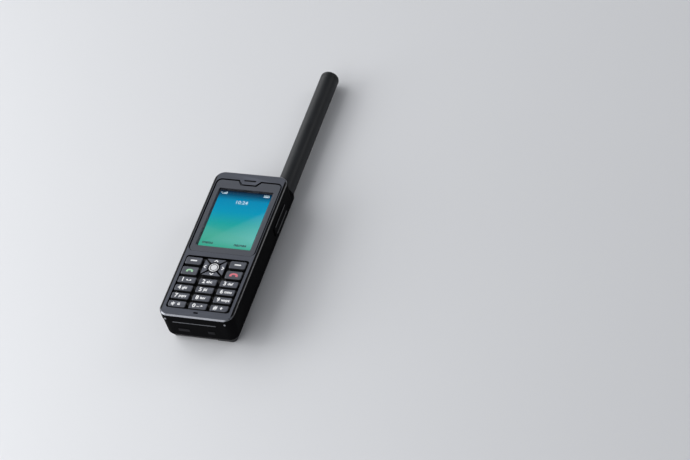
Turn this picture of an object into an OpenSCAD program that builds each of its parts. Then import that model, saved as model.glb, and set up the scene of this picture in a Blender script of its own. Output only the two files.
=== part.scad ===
// Handheld satellite phone with a pull-out antenna, lying on its back.
// Millimetres. X to the right, Y towards the earpiece, Z out of the screen. Z = 0 is the back.

/* [Body] */
// Length of the body without the antenna
body_length = 128; // [115:1:141]
// Width of the body
body_width = 53; // [47.5:0.5:58.5]
// Thickness of the body
body_depth = 27; // [24:0.5:30]
// Corner radius of the outline seen from the front
corner_radius = 7; // [5:0.5:8]
// Depth of the front case
front_depth = 6.6; // [6.2:0.1:7.2]
// Chamfer round the front face
face_chamfer = 0.9; // [0.5:0.1:1.2]
// Width of the slope along each long side of the face
rail_width = 1.9; // [1.6:0.1:2.4]
// Fall of that slope
rail_drop = 0.5; // [0.3:0.1:0.8]
// Thickness of the side walls
wall = 1.8; // [1.6:0.1:2]
// Thickness of the front wall
face_wall = 2.8; // [2.6:0.1:3]
// Step from the front case in to the rear case at the seam
seam_step = 0.3; // [0.1:0.1:0.5]
// Inward taper of each side from the seam to the shoulder
side_taper = 0.7; // [0.4:0.1:1]
// Height of the sloped shoulder above the back
shoulder_height = 6; // [4:0.5:8]
// Inward run of the sloped shoulder
shoulder_run = 3; // [2:0.5:4]

/* [Display] */
// Face left beside the lens
lens_rail = 2.5; // [2:0.1:4]
// Face left above the lens
lens_head = 6.7; // [6:0.1:8]
// Width of the picture
display_width = 37.4; // [34:0.2:39]
// Height of the picture
display_height = 49.8; // [45:0.2:55]
// Lens left above the picture
head_border = 8.9; // [8:0.1:10]
// Lens left below the picture
chin_border = 6.6; // [6:0.1:8]
// Thickness of the lens
lens_thick = 1.2; // [1:0.1:1.3]
// How far the lens lies under the face
lens_recess = 0.3; // [0.1:0.1:0.5]
// Corner radius of the lens
lens_corner = 4; // [2:0.5:5]

/* [Keys] */
// Face left beside the keypad
keypad_rail = 3.9; // [3.2:0.1:5]
// Face left below the keypad
keypad_foot = 6.6; // [6.4:0.1:8]
// Face left between lens and keypad
bridge = 4; // [3.6:0.1:5]
// Gap between columns of number keys
column_gap = 2.45; // [1.8:0.05:2.6]
// Gap between rows of number keys
row_gap = 1.8; // [1.4:0.1:1.9]
// How much higher the call and end keys are than a number key
call_extra = 1.7; // [1:0.1:2.4]
// How much higher the soft keys are than a number key
soft_extra = 1.1; // [0.5:0.1:1.6]
// How far the keys stand above the face
key_rise = 0.8; // [0.4:0.1:1.2]
// Travel of a key
key_travel = 0.4; // [0.3:0.05:0.5]
// Width of the ring of direction keys round the middle key
nav_ring = 3.2; // [2.9:0.1:3.6]

/* [Antenna] */
// Wall of the barrel that the antenna slides in
barrel_wall = 1; // [0.8:0.1:1.2]
// Room round the antenna in its barrel
bore_play = 0.3; // [0.2:0.05:0.4]
// Antenna left proud of the body when pushed in
antenna_proud = 8; // [4:0.5:12]

/* [Battery] */
// Length of the battery pack
battery_length = 55; // [49:0.5:61]
// Body left below the battery bay
bay_foot = 11; // [10:0.5:13]

/* [Hidden] */
$fn = 48;
skin = 0.01;
play = 0.15;
fit_gap = 0.05;
half_width = body_width / 2;
half_length = body_length / 2;
split_z = body_depth - front_depth;
face_under = body_depth - face_wall;
pcb_drop = 0.4;
pcb_thick = 1;
pcb_top = split_z - pcb_drop;
pcb_bottom = pcb_top - pcb_thick;
inner_half_width = half_width - seam_step - wall;

// Display stack
free_length = body_length - lens_head - keypad_foot - bridge;
lens_width = body_width - 2 * lens_rail;
lens_length = display_height + head_border + chin_border;
lens_top = half_length - lens_head;
lens_y = lens_top - lens_length / 2;
display_y = lens_top - head_border - display_height / 2;
lens_front = body_depth - lens_recess;
lens_back = lens_front - lens_thick;
tape_thick = 0.2;
tape_inset = 0.5;
ledge_z = lens_back - tape_thick;
window_margin = 1.2;
tab_depth = 3.7;
tab_top_half = 7.7;
tab_low_half = 5;
tab_step = 0.4;
slot_length = 8.8;
slot_height = 1.2;
slot_rim = 0.7;
slot_y = lens_top - 0.2;
panel_margin = 1.7;
frame_margin = 2.9;
panel_drop = 0.2;
panel_front = face_under - panel_drop;
panel_thick = 2.1;
earpiece_height = 6.4;

// Keypad
edge_gap = 0.45;
side_gap = 1.25;
call_gap = 2;
soft_gap = 2.2;
top_gap = 1.9;
keypad_half = half_width - keypad_rail;
keypad_height = free_length - lens_length;
keypad_bottom = -half_length + keypad_foot;
keypad_top = keypad_bottom + keypad_height;
keypad_y = (keypad_top + keypad_bottom) / 2;
keypad_corner = 2;
key_width = (2 * keypad_half - 2 * side_gap - 2 * column_gap) / 3;
key_room = keypad_height - edge_gap - 3 * row_gap - call_gap - soft_gap - top_gap;
key_height = (key_room - call_extra - soft_extra) / 6;
call_height = key_height + call_extra;
soft_height = key_height + soft_extra;
column_pitch = key_width + column_gap;
row_pitch = key_height + row_gap;
last_row_y = keypad_bottom + edge_gap + key_height / 2;
first_row_y = last_row_y + 3 * row_pitch;
call_y = first_row_y + key_height / 2 + call_gap + call_height / 2;
soft_y = call_y + call_height / 2 + soft_gap + soft_height / 2;
side_key_width = key_width - 1;
side_key_x = column_pitch + key_width / 2 + 0.25 - side_key_width / 2;
nav_gap = 1;
nav_corner = 2.2;
nav_half_width = side_key_x - side_key_width / 2 - 2;
nav_half_height = (soft_height + call_height + soft_gap) / 2 - 0.4;
nav_y = (soft_y + soft_height / 2 + call_y - call_height / 2) / 2 + 0.35;
nav_ring_gap = 0.35;
select_radius = nav_half_height - nav_ring;
nav_stem_radius = 1;
nav_stem_offset = (select_radius + nav_ring_gap + nav_half_height) / 2;
key_corner = 0.9;
key_chamfer = 0.4;
press_room = key_travel + fit_gap;
key_bottom = face_under + press_room;
key_top = body_depth + key_rise;
stem_margin = 1.05;
stem_radius = key_height / 2 - stem_margin;
stem_play = 0.3;
stem_root = 0.5;
dome_thick = 0.3;
dome_radius = 1.9;
nav_dome_radius = 1.5;
sheet_thick = 0.12;
stem_end = pcb_top + dome_thick + press_room;
mat_rim = 1.2;
mat_thick = 1.2;
skirt_play = 0.2;
mic_y = -half_length + 4.2;
mic_radius = 1.55;
mic_height = 1.5;
mic_bore = 0.7;
mic_slot = 3.4;
mic_slot_height = 1.2;
mic_centre_y = mic_y - 0.4;

// Antenna and its barrel in the rear case
foot_drop = 12;
stroke_margin = 23;
antenna_stroke = body_length - stroke_margin;
jack_height = 3.6;
jack_sink = 0.9;
jack_top = pcb_bottom + jack_sink;
barrel_floor = 0.3;
barrel_side = 0.7;
barrel_top_z = jack_top - jack_height - 2 * fit_gap;
barrel_radius = (barrel_top_z - barrel_floor) / 2;
bore_radius = barrel_radius - barrel_wall;
antenna_radius = bore_radius - bore_play;
antenna_x = half_width - barrel_side - barrel_radius;
antenna_z = barrel_floor + barrel_radius;
antenna_tip = half_length + antenna_stroke + antenna_proud;
antenna_foot_y = half_length - foot_drop;
foot_length = 1.5;
bore_end = antenna_foot_y - antenna_stroke - 0.2;
barrel_end = half_length - 0.5;
barrel_margin = 9;
barrel_start = -half_length + barrel_margin;
bush_length = 3;
bush_wall = 0.7;
bush_rim = 0.4;
bush_proud = 0.7;
bush_bottom = barrel_end - bush_length;
tube_wall = 1;
cap_length = 4;
cap_round = 1.6;
cap_plug = 5;
core_plug = 6;
collar_length = 3;
contact_drop = 4;
contact_length = 6;
contact_half = 1.5;
contact_depth = 0.9;

// Battery bay, its cover and the room behind the loudspeaker
bay_play = 0.3;
bay_margin = 7.1;
bay_wall = 2.2;
bay_left = -half_width + bay_margin;
bay_right = antenna_x - bore_radius - bay_wall;
bay_mid = (bay_left + bay_right) / 2;
bay_end_play = 1;
bay_bottom = -half_length + bay_foot;
bay_top = bay_bottom + battery_length + 2 * bay_end_play;
battery_width = bay_right - bay_left - 2 * bay_play;
deck_thick = 1.4;
under_board = 5.1;
deck_z = pcb_bottom - under_board;
bay_ceiling = deck_z - deck_thick;
back_wall = 1.8;
cover_thick = 1.6;
cover_margin = 0.6;
cover_left = bay_left - cover_margin;
cover_right = bay_right + cover_margin;
cover_top = bay_top + 2;
cover_foot = 4.4;
cover_bottom = -half_length + cover_foot;
cover_tongue = 0.8;
cover_lip = 0.7;
rib_length = 16;
rib_width = 1;
rib_depth = 0.4;
rib_pitch = 2.2;
rib_drop = 6;
sim_room = 2.15;
battery_top = bay_top - bay_end_play;
battery_back = cover_thick + play;
battery_depth = bay_ceiling - sim_room - battery_back;
battery_corner = 1.5;
pad_half = 5;
pad_low = 3.5;
pad_high = 7.5;
blade_pitch = 3.3;
blade_half = 0.6;
blade_low = 5;
blade_high = 6;
blade_reach = 0.35;
room_bottom = bay_top + 4;
room_drop = 12;
room_top = half_length - room_drop;
room_corner = 2;
speaker_y = (room_top + room_bottom) / 2 - 3;
speaker_radius = 9;
speaker_rim = 2.6;
speaker_step = 2.5;
speaker_magnet = 1.7;
speaker_film = 0.25;
grille_slots = 5;
grille_pitch = 2.6;
grille_length = 11;
grille_width = 1.2;
sim_width = 15;
sim_length = 17.8;
sim_thick = 0.75;
sim_gap = 0.15;
sim_shell = 0.35;
sim_top = bay_top - 5;
sim_bottom = sim_top - sim_length + 0.8;
gps_side = 14;
gps_height = 4;
gps_top = room_top - 3;
motor_radius = 5;
motor_height = 2.8;
motor_inset = 7;
motor_drop = 8;
can_height = 2.6;
can_skin = 0.3;
can_gap = 5;
can_end_gap = 13;
can_side_gap = 10;

// Screws
screw_radius = 1;
screw_head_radius = 2;
screw_head = 1.6;
hex_radius = 1.1;
hex_depth = 1;
boss_radius = 2.2;
boss_rim = 0.6;
screw_bite = 2.5;
screw_tip = pcb_top + screw_bite;
top_screw_y = half_length - 7.5;
mid_screw_y = (keypad_top + mat_rim + display_y - display_height / 2 - frame_margin) / 2;
screw_inset = screw_head_radius + 0.2;
left_screw_x = bay_left + screw_inset;
right_screw_x = bay_right - screw_inset;
top_seat_z = 4.5;
earpiece_length = 2 * (right_screw_x - boss_radius - play);

// Seal between the cases
seal_inset = 0.5;
seal_width = 0.8;
seal_depth = 0.75;

// Side key on the left
rocker_drop = 34;
rocker_y = half_length - rocker_drop;
rocker_length = 20.4;
rocker_height = 4;
rocker_under = 3.4;
rocker_z = pcb_bottom - rocker_under;
rocker_outer = half_width + 0.2;
rocker_inner = inner_half_width + 0.55;
rocker_pin_x = inner_half_width + 0.8;
rocker_pin_radius = 0.5;
rocker_pin_grip = 1.1;
rocker_room = 0.3;
switch_offset = 6.5;
switch_half = 2;
switch_depth = 3;
switch_drop = 1.4;

// Port cover on the right, and the sockets behind it
port_under = 6.8;
port_over = 1;
port_low = pcb_bottom - port_under;
port_high = split_z - port_over;
port_mid = jack_top - jack_height / 2;
port_floor = inner_half_width;
port_drop = 17.4;
port_top = half_length - port_drop;
port_length = 22.7;
port_hinge_y = port_top - port_length;
port_face = half_width + 0.2;
port_knuckle = 0.8;
port_hinge_x = port_face - port_knuckle;
port_back = port_floor + 0.1;
port_frame = 2;
port_play = 0.2;
ridge_width = 1;
ridge_rise = 0.4;
ridge_start = 1.6;
ridge_end = 0.6;
jack_y = port_top - 6.6;
jack_radius = 1.3;
jack_half_width = 2.6;
jack_length = 11.6;
jack_depth = 10.4;
jack_nose = jack_height / 2 - play;
usb_y = port_hinge_y + 6.1;
usb_half = 3.8;
usb_height = 2.5;
usb_length = 5.6;
usb_skin = 0.35;
usb_tongue_half = 2;

// Pads on the bottom end
dock_far = 14.5;
dock_near = 6.5;
dock_right = 11.4;
dock_height = 2.4;
dock_under = 8.2;
dock_z = pcb_bottom - dock_under;
dock_depth = 3.2;
dock_sink = 0.3;

module rounded(w, h, r) {
    union() {
        square([w - 2 * r, h], center = true);
        square([w, h - 2 * r], center = true);
        for (x = [-1, 1], y = [-1, 1])
            translate([x * (w / 2 - r), y * (h / 2 - r)])
                circle(r);
    }
}

module outline(inset) {
    rounded(body_width - 2 * inset, body_length - 2 * inset, corner_radius - inset);
}

module slab(z, inset) {
    translate([0, 0, z])
        linear_extrude(skin)
            outline(inset);
}

// Box by two opposite corners
module box(low, high) {
    translate(low)
        cube(high - low);
}

module along_y(x, y0, y1, z, r) {
    translate([x, y0, z])
        rotate([-90, 0, 0])
            cylinder(r = r, h = y1 - y0);
}

module lens_shape(inset) {
    difference() {
        translate([0, lens_y])
            rounded(lens_width - 2 * inset, lens_length - 2 * inset, lens_corner - inset);
        polygon([
            [-tab_top_half - inset, lens_top + 1],
            [-tab_top_half - inset, lens_top - tab_step],
            [-tab_low_half - inset, lens_top - tab_depth - inset],
            [tab_low_half + inset, lens_top - tab_depth - inset],
            [tab_top_half + inset, lens_top - tab_step],
            [tab_top_half + inset, lens_top + 1]
        ]);
    }
}

module window_shape(margin) {
    translate([0, display_y])
        rounded(display_width + 2 * margin, display_height + 2 * margin, 1 + margin / 2);
}

module keypad_shape(margin) {
    translate([0, keypad_y])
        rounded(2 * keypad_half + 2 * margin, keypad_height + 2 * margin, keypad_corner + margin);
}

module screw_places_top() {
    for (x = [left_screw_x, right_screw_x])
        translate([x, top_screw_y, 0])
            children();
}

module screw_places_mid() {
    for (x = [left_screw_x, right_screw_x])
        translate([x, mid_screw_y, 0])
            children();
}

// Cases

module rail_cut() {
    rotate([90, 0, 0])
        linear_extrude(body_length + 2, center = true)
            polygon([[half_width - rail_width, body_depth],
                [half_width, body_depth - rail_drop],
                [half_width + rail_width, body_depth - 2 * rail_drop],
                [half_width + rail_width, body_depth + 1],
                [half_width - rail_width, body_depth + 1]]);
}

module front_outer() {
    difference() {
        hull() {
            slab(split_z, 0);
            slab(body_depth - face_chamfer - skin, 0);
            slab(body_depth - skin, face_chamfer);
        }
        rail_cut();
        mirror([1, 0, 0])
            rail_cut();
    }
}

module front_case() {
    color("DimGray")
        difference() {
            front_outer();
            difference() {
                translate([0, 0, split_z - 1])
                    linear_extrude(face_under - split_z + 1)
                        outline(seam_step + wall);
                screw_places_top()
                    translate([0, 0, pcb_top])
                        cylinder(r = boss_radius, h = face_wall + front_depth);
                screw_places_mid()
                    translate([0, 0, pcb_top])
                        cylinder(r = boss_radius, h = face_wall + front_depth);
            }
            translate([0, 0, ledge_z])
                linear_extrude(body_depth)
                    lens_shape(-play);
            translate([0, 0, split_z])
                linear_extrude(body_depth)
                    window_shape(window_margin);
            translate([0, 0, split_z])
                linear_extrude(body_depth)
                    keypad_shape(0);
            translate([0, slot_y, split_z])
                linear_extrude(body_depth)
                    rounded(slot_length, slot_height, slot_height / 2 - skin);
            translate([0, slot_y, split_z])
                linear_extrude(front_depth - slot_rim)
                    rounded(slot_length + 2 * slot_rim, slot_height + 2 * slot_rim, 1);
            translate([0, mic_y, split_z])
                linear_extrude(body_depth)
                    rounded(mic_slot, mic_slot_height, mic_slot_height / 2 - skin);
            screw_places_top()
                translate([0, 0, split_z - 1])
                    cylinder(r = screw_radius + fit_gap, h = screw_tip - split_z + 1.5);
            screw_places_mid()
                translate([0, 0, split_z - 1])
                    cylinder(r = screw_radius + fit_gap, h = screw_tip - split_z + 1.5);
        }
}

module rear_outer() {
    hull() {
        slab(split_z - skin, seam_step);
        slab(shoulder_height, seam_step + side_taper);
        slab(0, seam_step + side_taper + shoulder_run);
    }
}

module cover_space() {
    box([cover_left - play, -body_length, -1], [cover_right + play, cover_top + play, cover_lip + 0.1]);
    box([cover_left - cover_tongue - play, -body_length, cover_lip - 0.1],
        [cover_right + cover_tongue + play, cover_top + play, cover_thick + 0.1]);
}

module rear_hollows() {
    translate([0, 0, deck_z])
        linear_extrude(body_depth)
            outline(seam_step + wall);
    translate([bay_mid, (room_top + room_bottom) / 2, back_wall])
        linear_extrude(body_depth)
            rounded(bay_right - bay_left, room_top - room_bottom, room_corner);
    box([bay_left, bay_bottom, -1], [bay_right, bay_top, bay_ceiling]);
}

module rear_added() {
    along_y(antenna_x, barrel_start, barrel_end, antenna_z, barrel_radius);
    screw_places_top()
        translate([0, 0, deck_z - 1])
            cylinder(r = boss_radius + boss_rim, h = pcb_bottom - deck_z + 1);
    screw_places_mid()
        translate([0, 0, deck_z - 1])
            cylinder(r = boss_radius, h = pcb_bottom - deck_z + 1);
    box([port_floor - port_frame, port_hinge_y - 2, deck_z - 1],
        [port_floor + 0.5, port_top + 1.5, split_z]);
}

module rear_case() {
    color("Black")
        difference() {
            union() {
                difference() {
                    rear_outer();
                    rear_hollows();
                }
                rear_added();
            }
            cover_space();
            along_y(antenna_x, bore_end, barrel_end + 1, antenna_z, bore_radius);
            along_y(antenna_x, bush_bottom, barrel_end + 1, antenna_z,
                antenna_radius + fit_gap + bush_wall);
            box([antenna_x - contact_half - 2 * fit_gap,
                half_length - contact_drop - contact_length - 2 * fit_gap,
                antenna_z + bore_radius - 1],
                [antenna_x + contact_half + 2 * fit_gap, half_length - contact_drop + 2 * fit_gap,
                    split_z]);
            screw_places_top()
                translate([0, 0, -1])
                    cylinder(r = screw_radius + play, h = body_depth);
            screw_places_top()
                translate([0, 0, -1])
                    cylinder(r = screw_head_radius + play, h = top_seat_z + 1);
            screw_places_mid()
                translate([0, 0, bay_ceiling - 1])
                    cylinder(r = screw_radius + play, h = body_depth);
            screw_places_mid()
                translate([0, 0, -1])
                    cylinder(r = screw_head_radius + play, h = bay_ceiling + 1);
            for (i = [0 : grille_slots - 1])
                translate([bay_mid, speaker_y + (i - (grille_slots - 1) / 2) * grille_pitch, -1])
                    linear_extrude(back_wall + 2)
                        rounded(grille_length, grille_width, grille_width / 2 - fit_gap);
            seal_groove();
            rocker_space();
            port_space();
            box([bay_mid - pad_half - 2 * fit_gap, battery_top + bay_end_play - 2 * fit_gap,
                pad_low - 2 * fit_gap],
                [bay_mid + pad_half + 2 * fit_gap, room_bottom + 2 * fit_gap, pad_high + 2 * fit_gap]);
            dock_places(fit_gap, half_length);
        }
}

module seal_groove() {
    translate([0, 0, split_z - seal_depth])
        linear_extrude(2)
            difference() {
                outline(seam_step + seal_inset);
                outline(seam_step + seal_inset + seal_width);
            }
}

module rocker_space() {
    box([-body_width, rocker_y - rocker_length / 2 - rocker_room, rocker_z - rocker_height / 2 - port_play],
        [-inner_half_width + 1, rocker_y + rocker_length / 2 + rocker_room,
            rocker_z + rocker_height / 2 + port_play]);
    translate([-rocker_pin_x, rocker_y, rocker_z - rocker_height / 2 - rocker_pin_grip - fit_gap])
        cylinder(r = rocker_pin_radius + fit_gap / 2,
            h = rocker_height + 2 * rocker_pin_grip + 2 * fit_gap);
}

module port_space() {
    box([port_floor, port_hinge_y - port_knuckle - port_play, port_low - port_play],
        [body_width, port_top + port_play, port_high + port_play]);
    translate([port_floor - port_frame - 1, jack_y, port_mid])
        rotate([0, 90, 0])
            cylinder(r = jack_nose + fit_gap, h = port_frame + 1 + skin);
    box([port_floor - port_frame - 1, usb_y - usb_half - fit_gap, pcb_bottom - usb_height - fit_gap],
        [port_floor + 1, usb_y + usb_half + fit_gap, pcb_bottom + fit_gap]);
}

module dock_places(gap, reach) {
    for (span = [[-dock_far, -dock_near], [dock_near, dock_right]])
        box([span[0] - gap, -reach, dock_z - gap],
            [span[1] + gap, -half_length + dock_depth + gap, dock_z + dock_height + gap]);
}

module case_seal() {
    color("DarkSlateGray")
        translate([0, 0, split_z - seal_depth])
            linear_extrude(seal_depth)
                difference() {
                    outline(seam_step + seal_inset + fit_gap);
                    outline(seam_step + seal_inset + seal_width - fit_gap);
                }
}

module screw(seat) {
    translate([0, 0, seat - screw_head])
        difference() {
            cylinder(r = screw_head_radius, h = screw_head);
            translate([0, 0, -1])
                cylinder(r = hex_radius, h = hex_depth + 1, $fn = 6);
        }
    translate([0, 0, seat - 0.1])
        cylinder(r = screw_radius, h = screw_tip - seat + 0.1);
}

module case_screws() {
    color("Silver") {
        screw_places_top()
            screw(top_seat_z);
        screw_places_mid()
            screw(bay_ceiling);
    }
}

module dock_contacts() {
    color("Goldenrod")
        dock_places(0, half_length - dock_sink);
}

// Display

module display_lens() {
    color("SlateGray", 0.5)
        translate([0, 0, lens_back])
            linear_extrude(lens_thick)
                lens_shape(0);
}

module lens_tape() {
    color("Black")
        translate([0, 0, ledge_z])
            linear_extrude(tape_thick)
                difference() {
                    lens_shape(tape_inset);
                    window_shape(window_margin + tape_inset);
                }
}

module lcd_panel() {
    color("SteelBlue")
        translate([0, 0, panel_front - panel_thick])
            linear_extrude(panel_thick)
                window_shape(panel_margin);
}

module lcd_frame() {
    color("Silver")
        difference() {
            translate([0, 0, pcb_top])
                linear_extrude(face_under - pcb_top)
                    window_shape(frame_margin);
            translate([0, 0, panel_front - panel_thick])
                linear_extrude(body_depth)
                    window_shape(panel_margin + fit_gap);
        }
}

// Sound

module earpiece_mesh() {
    color("LightGray")
        translate([0, slot_y, face_under])
            linear_extrude(face_wall - slot_rim - fit_gap)
                rounded(slot_length + 2 * slot_rim - 2 * fit_gap,
                    slot_height + 2 * slot_rim - 2 * fit_gap, 0.95);
}

module earpiece() {
    color("Gray")
        translate([0, slot_y - 0.1, pcb_top])
            linear_extrude(face_under - pcb_top)
                rounded(earpiece_length, earpiece_height, 2);
}

module microphone() {
    color("Silver")
        translate([0, mic_centre_y, pcb_top])
            cylinder(r = mic_radius, h = mic_height);
}

module mic_boot() {
    color("Black")
        translate([0, mic_centre_y, pcb_top + mic_height])
            difference() {
                cylinder(r = mic_radius, h = face_under - pcb_top - mic_height);
                translate([0, 0, -1])
                    cylinder(r = mic_bore, h = body_depth);
            }
}

module loudspeaker() {
    color("DarkSlateGray")
        translate([bay_mid, speaker_y, back_wall + speaker_film]) {
            cylinder(r = speaker_radius, h = speaker_rim);
            cylinder(r = speaker_radius - speaker_step, h = speaker_rim + speaker_magnet);
        }
}

module speaker_mesh() {
    color("LightGray")
        translate([bay_mid, speaker_y, back_wall])
            cylinder(r = speaker_radius - speaker_step / 2, h = speaker_film);
}

// Keypad

module keymat() {
    color("Black")
        difference() {
            union() {
                translate([0, 0, face_under - mat_thick])
                    linear_extrude(mat_thick)
                        keypad_shape(mat_rim);
                translate([0, 0, pcb_top])
                    linear_extrude(face_under - pcb_top - mat_thick / 2)
                        difference() {
                            keypad_shape(mat_rim);
                            keypad_shape(skirt_play);
                        }
            }
            key_places()
                translate([0, 0, split_z - 1])
                    cylinder(r = stem_radius + stem_play, h = body_depth);
            nav_places()
                translate([0, 0, split_z - 1])
                    cylinder(r = nav_stem_radius + stem_play, h = body_depth);
        }
}

module dome_sheet() {
    color("Silver") {
        translate([0, 0, pcb_top])
            linear_extrude(sheet_thick)
                keypad_shape(0);
        key_places()
            translate([0, 0, pcb_top])
                cylinder(r = dome_radius, h = dome_thick);
        nav_places()
            translate([0, 0, pcb_top])
                cylinder(r = nav_dome_radius, h = dome_thick);
    }
}

module key_places() {
    for (column = [0 : 2], row = [0 : 3])
        translate([(column - 1) * column_pitch, first_row_y - row * row_pitch, 0])
            children();
    for (x = [-side_key_x, side_key_x], y = [soft_y, call_y])
        translate([x, y, 0])
            children();
}

module nav_places() {
    translate([0, nav_y, 0])
        children();
    for (a = [0 : 90 : 270])
        translate([nav_stem_offset * cos(a), nav_y + nav_stem_offset * sin(a), 0])
            children();
}

module key_cap(w, h) {
    hull() {
        translate([0, 0, key_bottom])
            linear_extrude(key_top - key_chamfer - key_bottom)
                rounded(w, h, key_corner);
        translate([0, 0, key_top - skin])
            linear_extrude(skin)
                rounded(w - 2 * key_chamfer, h - 2 * key_chamfer, key_corner - key_chamfer);
    }
}

module stem(r) {
    translate([0, 0, stem_end])
        cylinder(r = r, h = key_bottom - stem_end + stem_root);
}

module plain_key(x, y, w, h) {
    color("DarkSlateGray")
        translate([x, y, 0]) {
            key_cap(w, h);
            stem(stem_radius);
        }
}

module number_key(column, row) {
    plain_key((column - 1) * column_pitch, first_row_y - row * row_pitch, key_width, key_height);
}

module soft_left() {
    plain_key(-side_key_x, soft_y, side_key_width, soft_height);
}

module soft_right() {
    plain_key(side_key_x, soft_y, side_key_width, soft_height);
}

module call_key() {
    plain_key(-side_key_x, call_y, side_key_width, call_height);
}

module end_key() {
    plain_key(side_key_x, call_y, side_key_width, call_height);
}

module key_1() { number_key(0, 0); }
module key_2() { number_key(1, 0); }
module key_3() { number_key(2, 0); }
module key_4() { number_key(0, 1); }
module key_5() { number_key(1, 1); }
module key_6() { number_key(2, 1); }
module key_7() { number_key(0, 2); }
module key_8() { number_key(1, 2); }
module key_9() { number_key(2, 2); }
module key_star() { number_key(0, 3); }
module key_0() { number_key(1, 3); }
module key_hash() { number_key(2, 3); }

// One quarter of the ring of four, from the middle out along the direction a
module nav_sector(a) {
    upright = a == 90 || a == 270;
    across = upright ? nav_half_width : nav_half_height;
    along = upright ? nav_half_height : nav_half_width;
    shift = nav_gap / 2 * sqrt(across * across + along * along) / across;
    color("DarkSlateGray")
        translate([0, nav_y, 0]) {
            translate([0, 0, key_bottom])
                linear_extrude(key_top - key_bottom)
                    difference() {
                        intersection() {
                            rounded(2 * nav_half_width, 2 * nav_half_height, nav_corner);
                            rotate(a)
                                polygon([[shift, 0], [along + shift, across], [along + shift, -across]]);
                        }
                        circle(select_radius + nav_ring_gap);
                    }
            translate([nav_stem_offset * cos(a), nav_stem_offset * sin(a), 0])
                stem(nav_stem_radius);
        }
}

module nav_right() { nav_sector(0); }
module nav_up() { nav_sector(90); }
module nav_left() { nav_sector(180); }
module nav_down() { nav_sector(270); }

module nav_select() {
    color("Gray")
        translate([0, nav_y, 0]) {
            translate([0, 0, key_bottom])
                cylinder(r = select_radius, h = key_top - key_bottom);
            stem(nav_stem_radius);
        }
}

// Board and what it carries

module main_pcb() {
    color("DarkGreen")
        difference() {
            translate([0, 0, pcb_bottom])
                linear_extrude(pcb_top - pcb_bottom)
                    outline(seam_step + wall + 1);
            screw_places_top()
                translate([0, 0, pcb_bottom - 1])
                    cylinder(r = screw_radius + play, h = 4);
            screw_places_mid()
                translate([0, 0, pcb_bottom - 1])
                    cylinder(r = screw_radius + play, h = 4);
            box([port_floor - port_frame - 0.3, port_hinge_y - 3, pcb_bottom - 1],
                [body_width, port_top + 2.5, pcb_top + 1]);
            box([port_floor - jack_length - play, jack_y - jack_half_width - play, pcb_bottom - 1],
                [port_floor, jack_y + jack_half_width + play, pcb_top + 1]);
        }
}

module can(low, high) {
    difference() {
        box([low[0], low[1], pcb_bottom - can_height], [high[0], high[1], pcb_bottom]);
        box([low[0] + can_skin, low[1] + can_skin, pcb_bottom - can_height + can_skin],
            [high[0] - can_skin, high[1] - can_skin, pcb_bottom + 1]);
    }
}

module shield_cans() {
    color("Silver") {
        can([left_screw_x, bay_bottom + can_gap], [right_screw_x, mid_screw_y - can_gap]);
        can([left_screw_x, mid_screw_y + can_gap], [right_screw_x, gps_top - gps_side - can_end_gap]);
        can([antenna_x - antenna_radius, bay_bottom + can_gap],
            [antenna_x + contact_length / 2, port_hinge_y - can_side_gap]);
    }
}

module vibration_motor() {
    color("Silver")
        translate([bay_left + motor_inset, room_top - motor_drop, pcb_bottom - motor_height])
            cylinder(r = motor_radius, h = motor_height);
}

module gps_patch() {
    color("Tan")
        box([bay_mid, gps_top - gps_side, pcb_bottom - gps_height],
            [bay_mid + gps_side, gps_top, pcb_bottom]);
}

module volume_switches() {
    color("Gray")
        for (y = [-switch_offset, switch_offset])
            box([-inner_half_width + fit_gap, rocker_y + y - switch_half, rocker_z - switch_drop],
                [-inner_half_width + switch_depth, rocker_y + y + switch_half, pcb_bottom]);
}

module headset_jack() {
    color("DimGray")
        difference() {
            union() {
                box([port_floor - jack_length, jack_y - jack_half_width, jack_top - jack_height],
                    [port_floor - port_frame, jack_y + jack_half_width, jack_top]);
                translate([port_floor - port_frame - 0.5, jack_y, port_mid])
                    rotate([0, 90, 0])
                        cylinder(r = jack_nose, h = port_frame + 0.5);
            }
            translate([port_floor - jack_depth, jack_y, port_mid])
                rotate([0, 90, 0])
                    cylinder(r = jack_radius, h = jack_length);
        }
}

module usb_socket() {
    color("Silver") {
        difference() {
            box([port_floor - usb_length, usb_y - usb_half, pcb_bottom - usb_height],
                [port_floor, usb_y + usb_half, pcb_bottom]);
            box([port_floor - usb_length + 2 * usb_skin, usb_y - usb_half + usb_skin,
                pcb_bottom - usb_height + usb_skin],
                [port_floor + 1, usb_y + usb_half - usb_skin, pcb_bottom - usb_skin]);
        }
        box([port_floor - usb_length + usb_skin, usb_y - usb_tongue_half,
            pcb_bottom - usb_height / 2 - usb_skin],
            [port_floor - 2 * usb_skin, usb_y + usb_tongue_half,
                pcb_bottom - usb_height / 2 + usb_skin / 2]);
    }
}

// Battery

module battery_pack() {
    color("DarkGray")
        difference() {
            translate([bay_mid, battery_top - battery_length / 2, battery_back])
                linear_extrude(battery_depth)
                    rounded(battery_width, battery_length, battery_corner);
            box([bay_mid - blade_pitch - 2 * blade_half, battery_top - blade_reach - fit_gap,
                blade_low - 1],
                [bay_mid + blade_pitch + 2 * blade_half, battery_top + 1, blade_high + 1]);
        }
}

module battery_contacts() {
    color("Goldenrod")
        union() {
            box([bay_mid - pad_half, battery_top + bay_end_play - fit_gap, pad_low],
                [bay_mid + pad_half, room_bottom + 1, pad_high]);
            for (x = [-blade_pitch, 0, blade_pitch])
                box([bay_mid + x - blade_half, battery_top - blade_reach, blade_low],
                    [bay_mid + x + blade_half, battery_top + bay_end_play + 0.2, blade_high]);
        }
}

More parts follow.
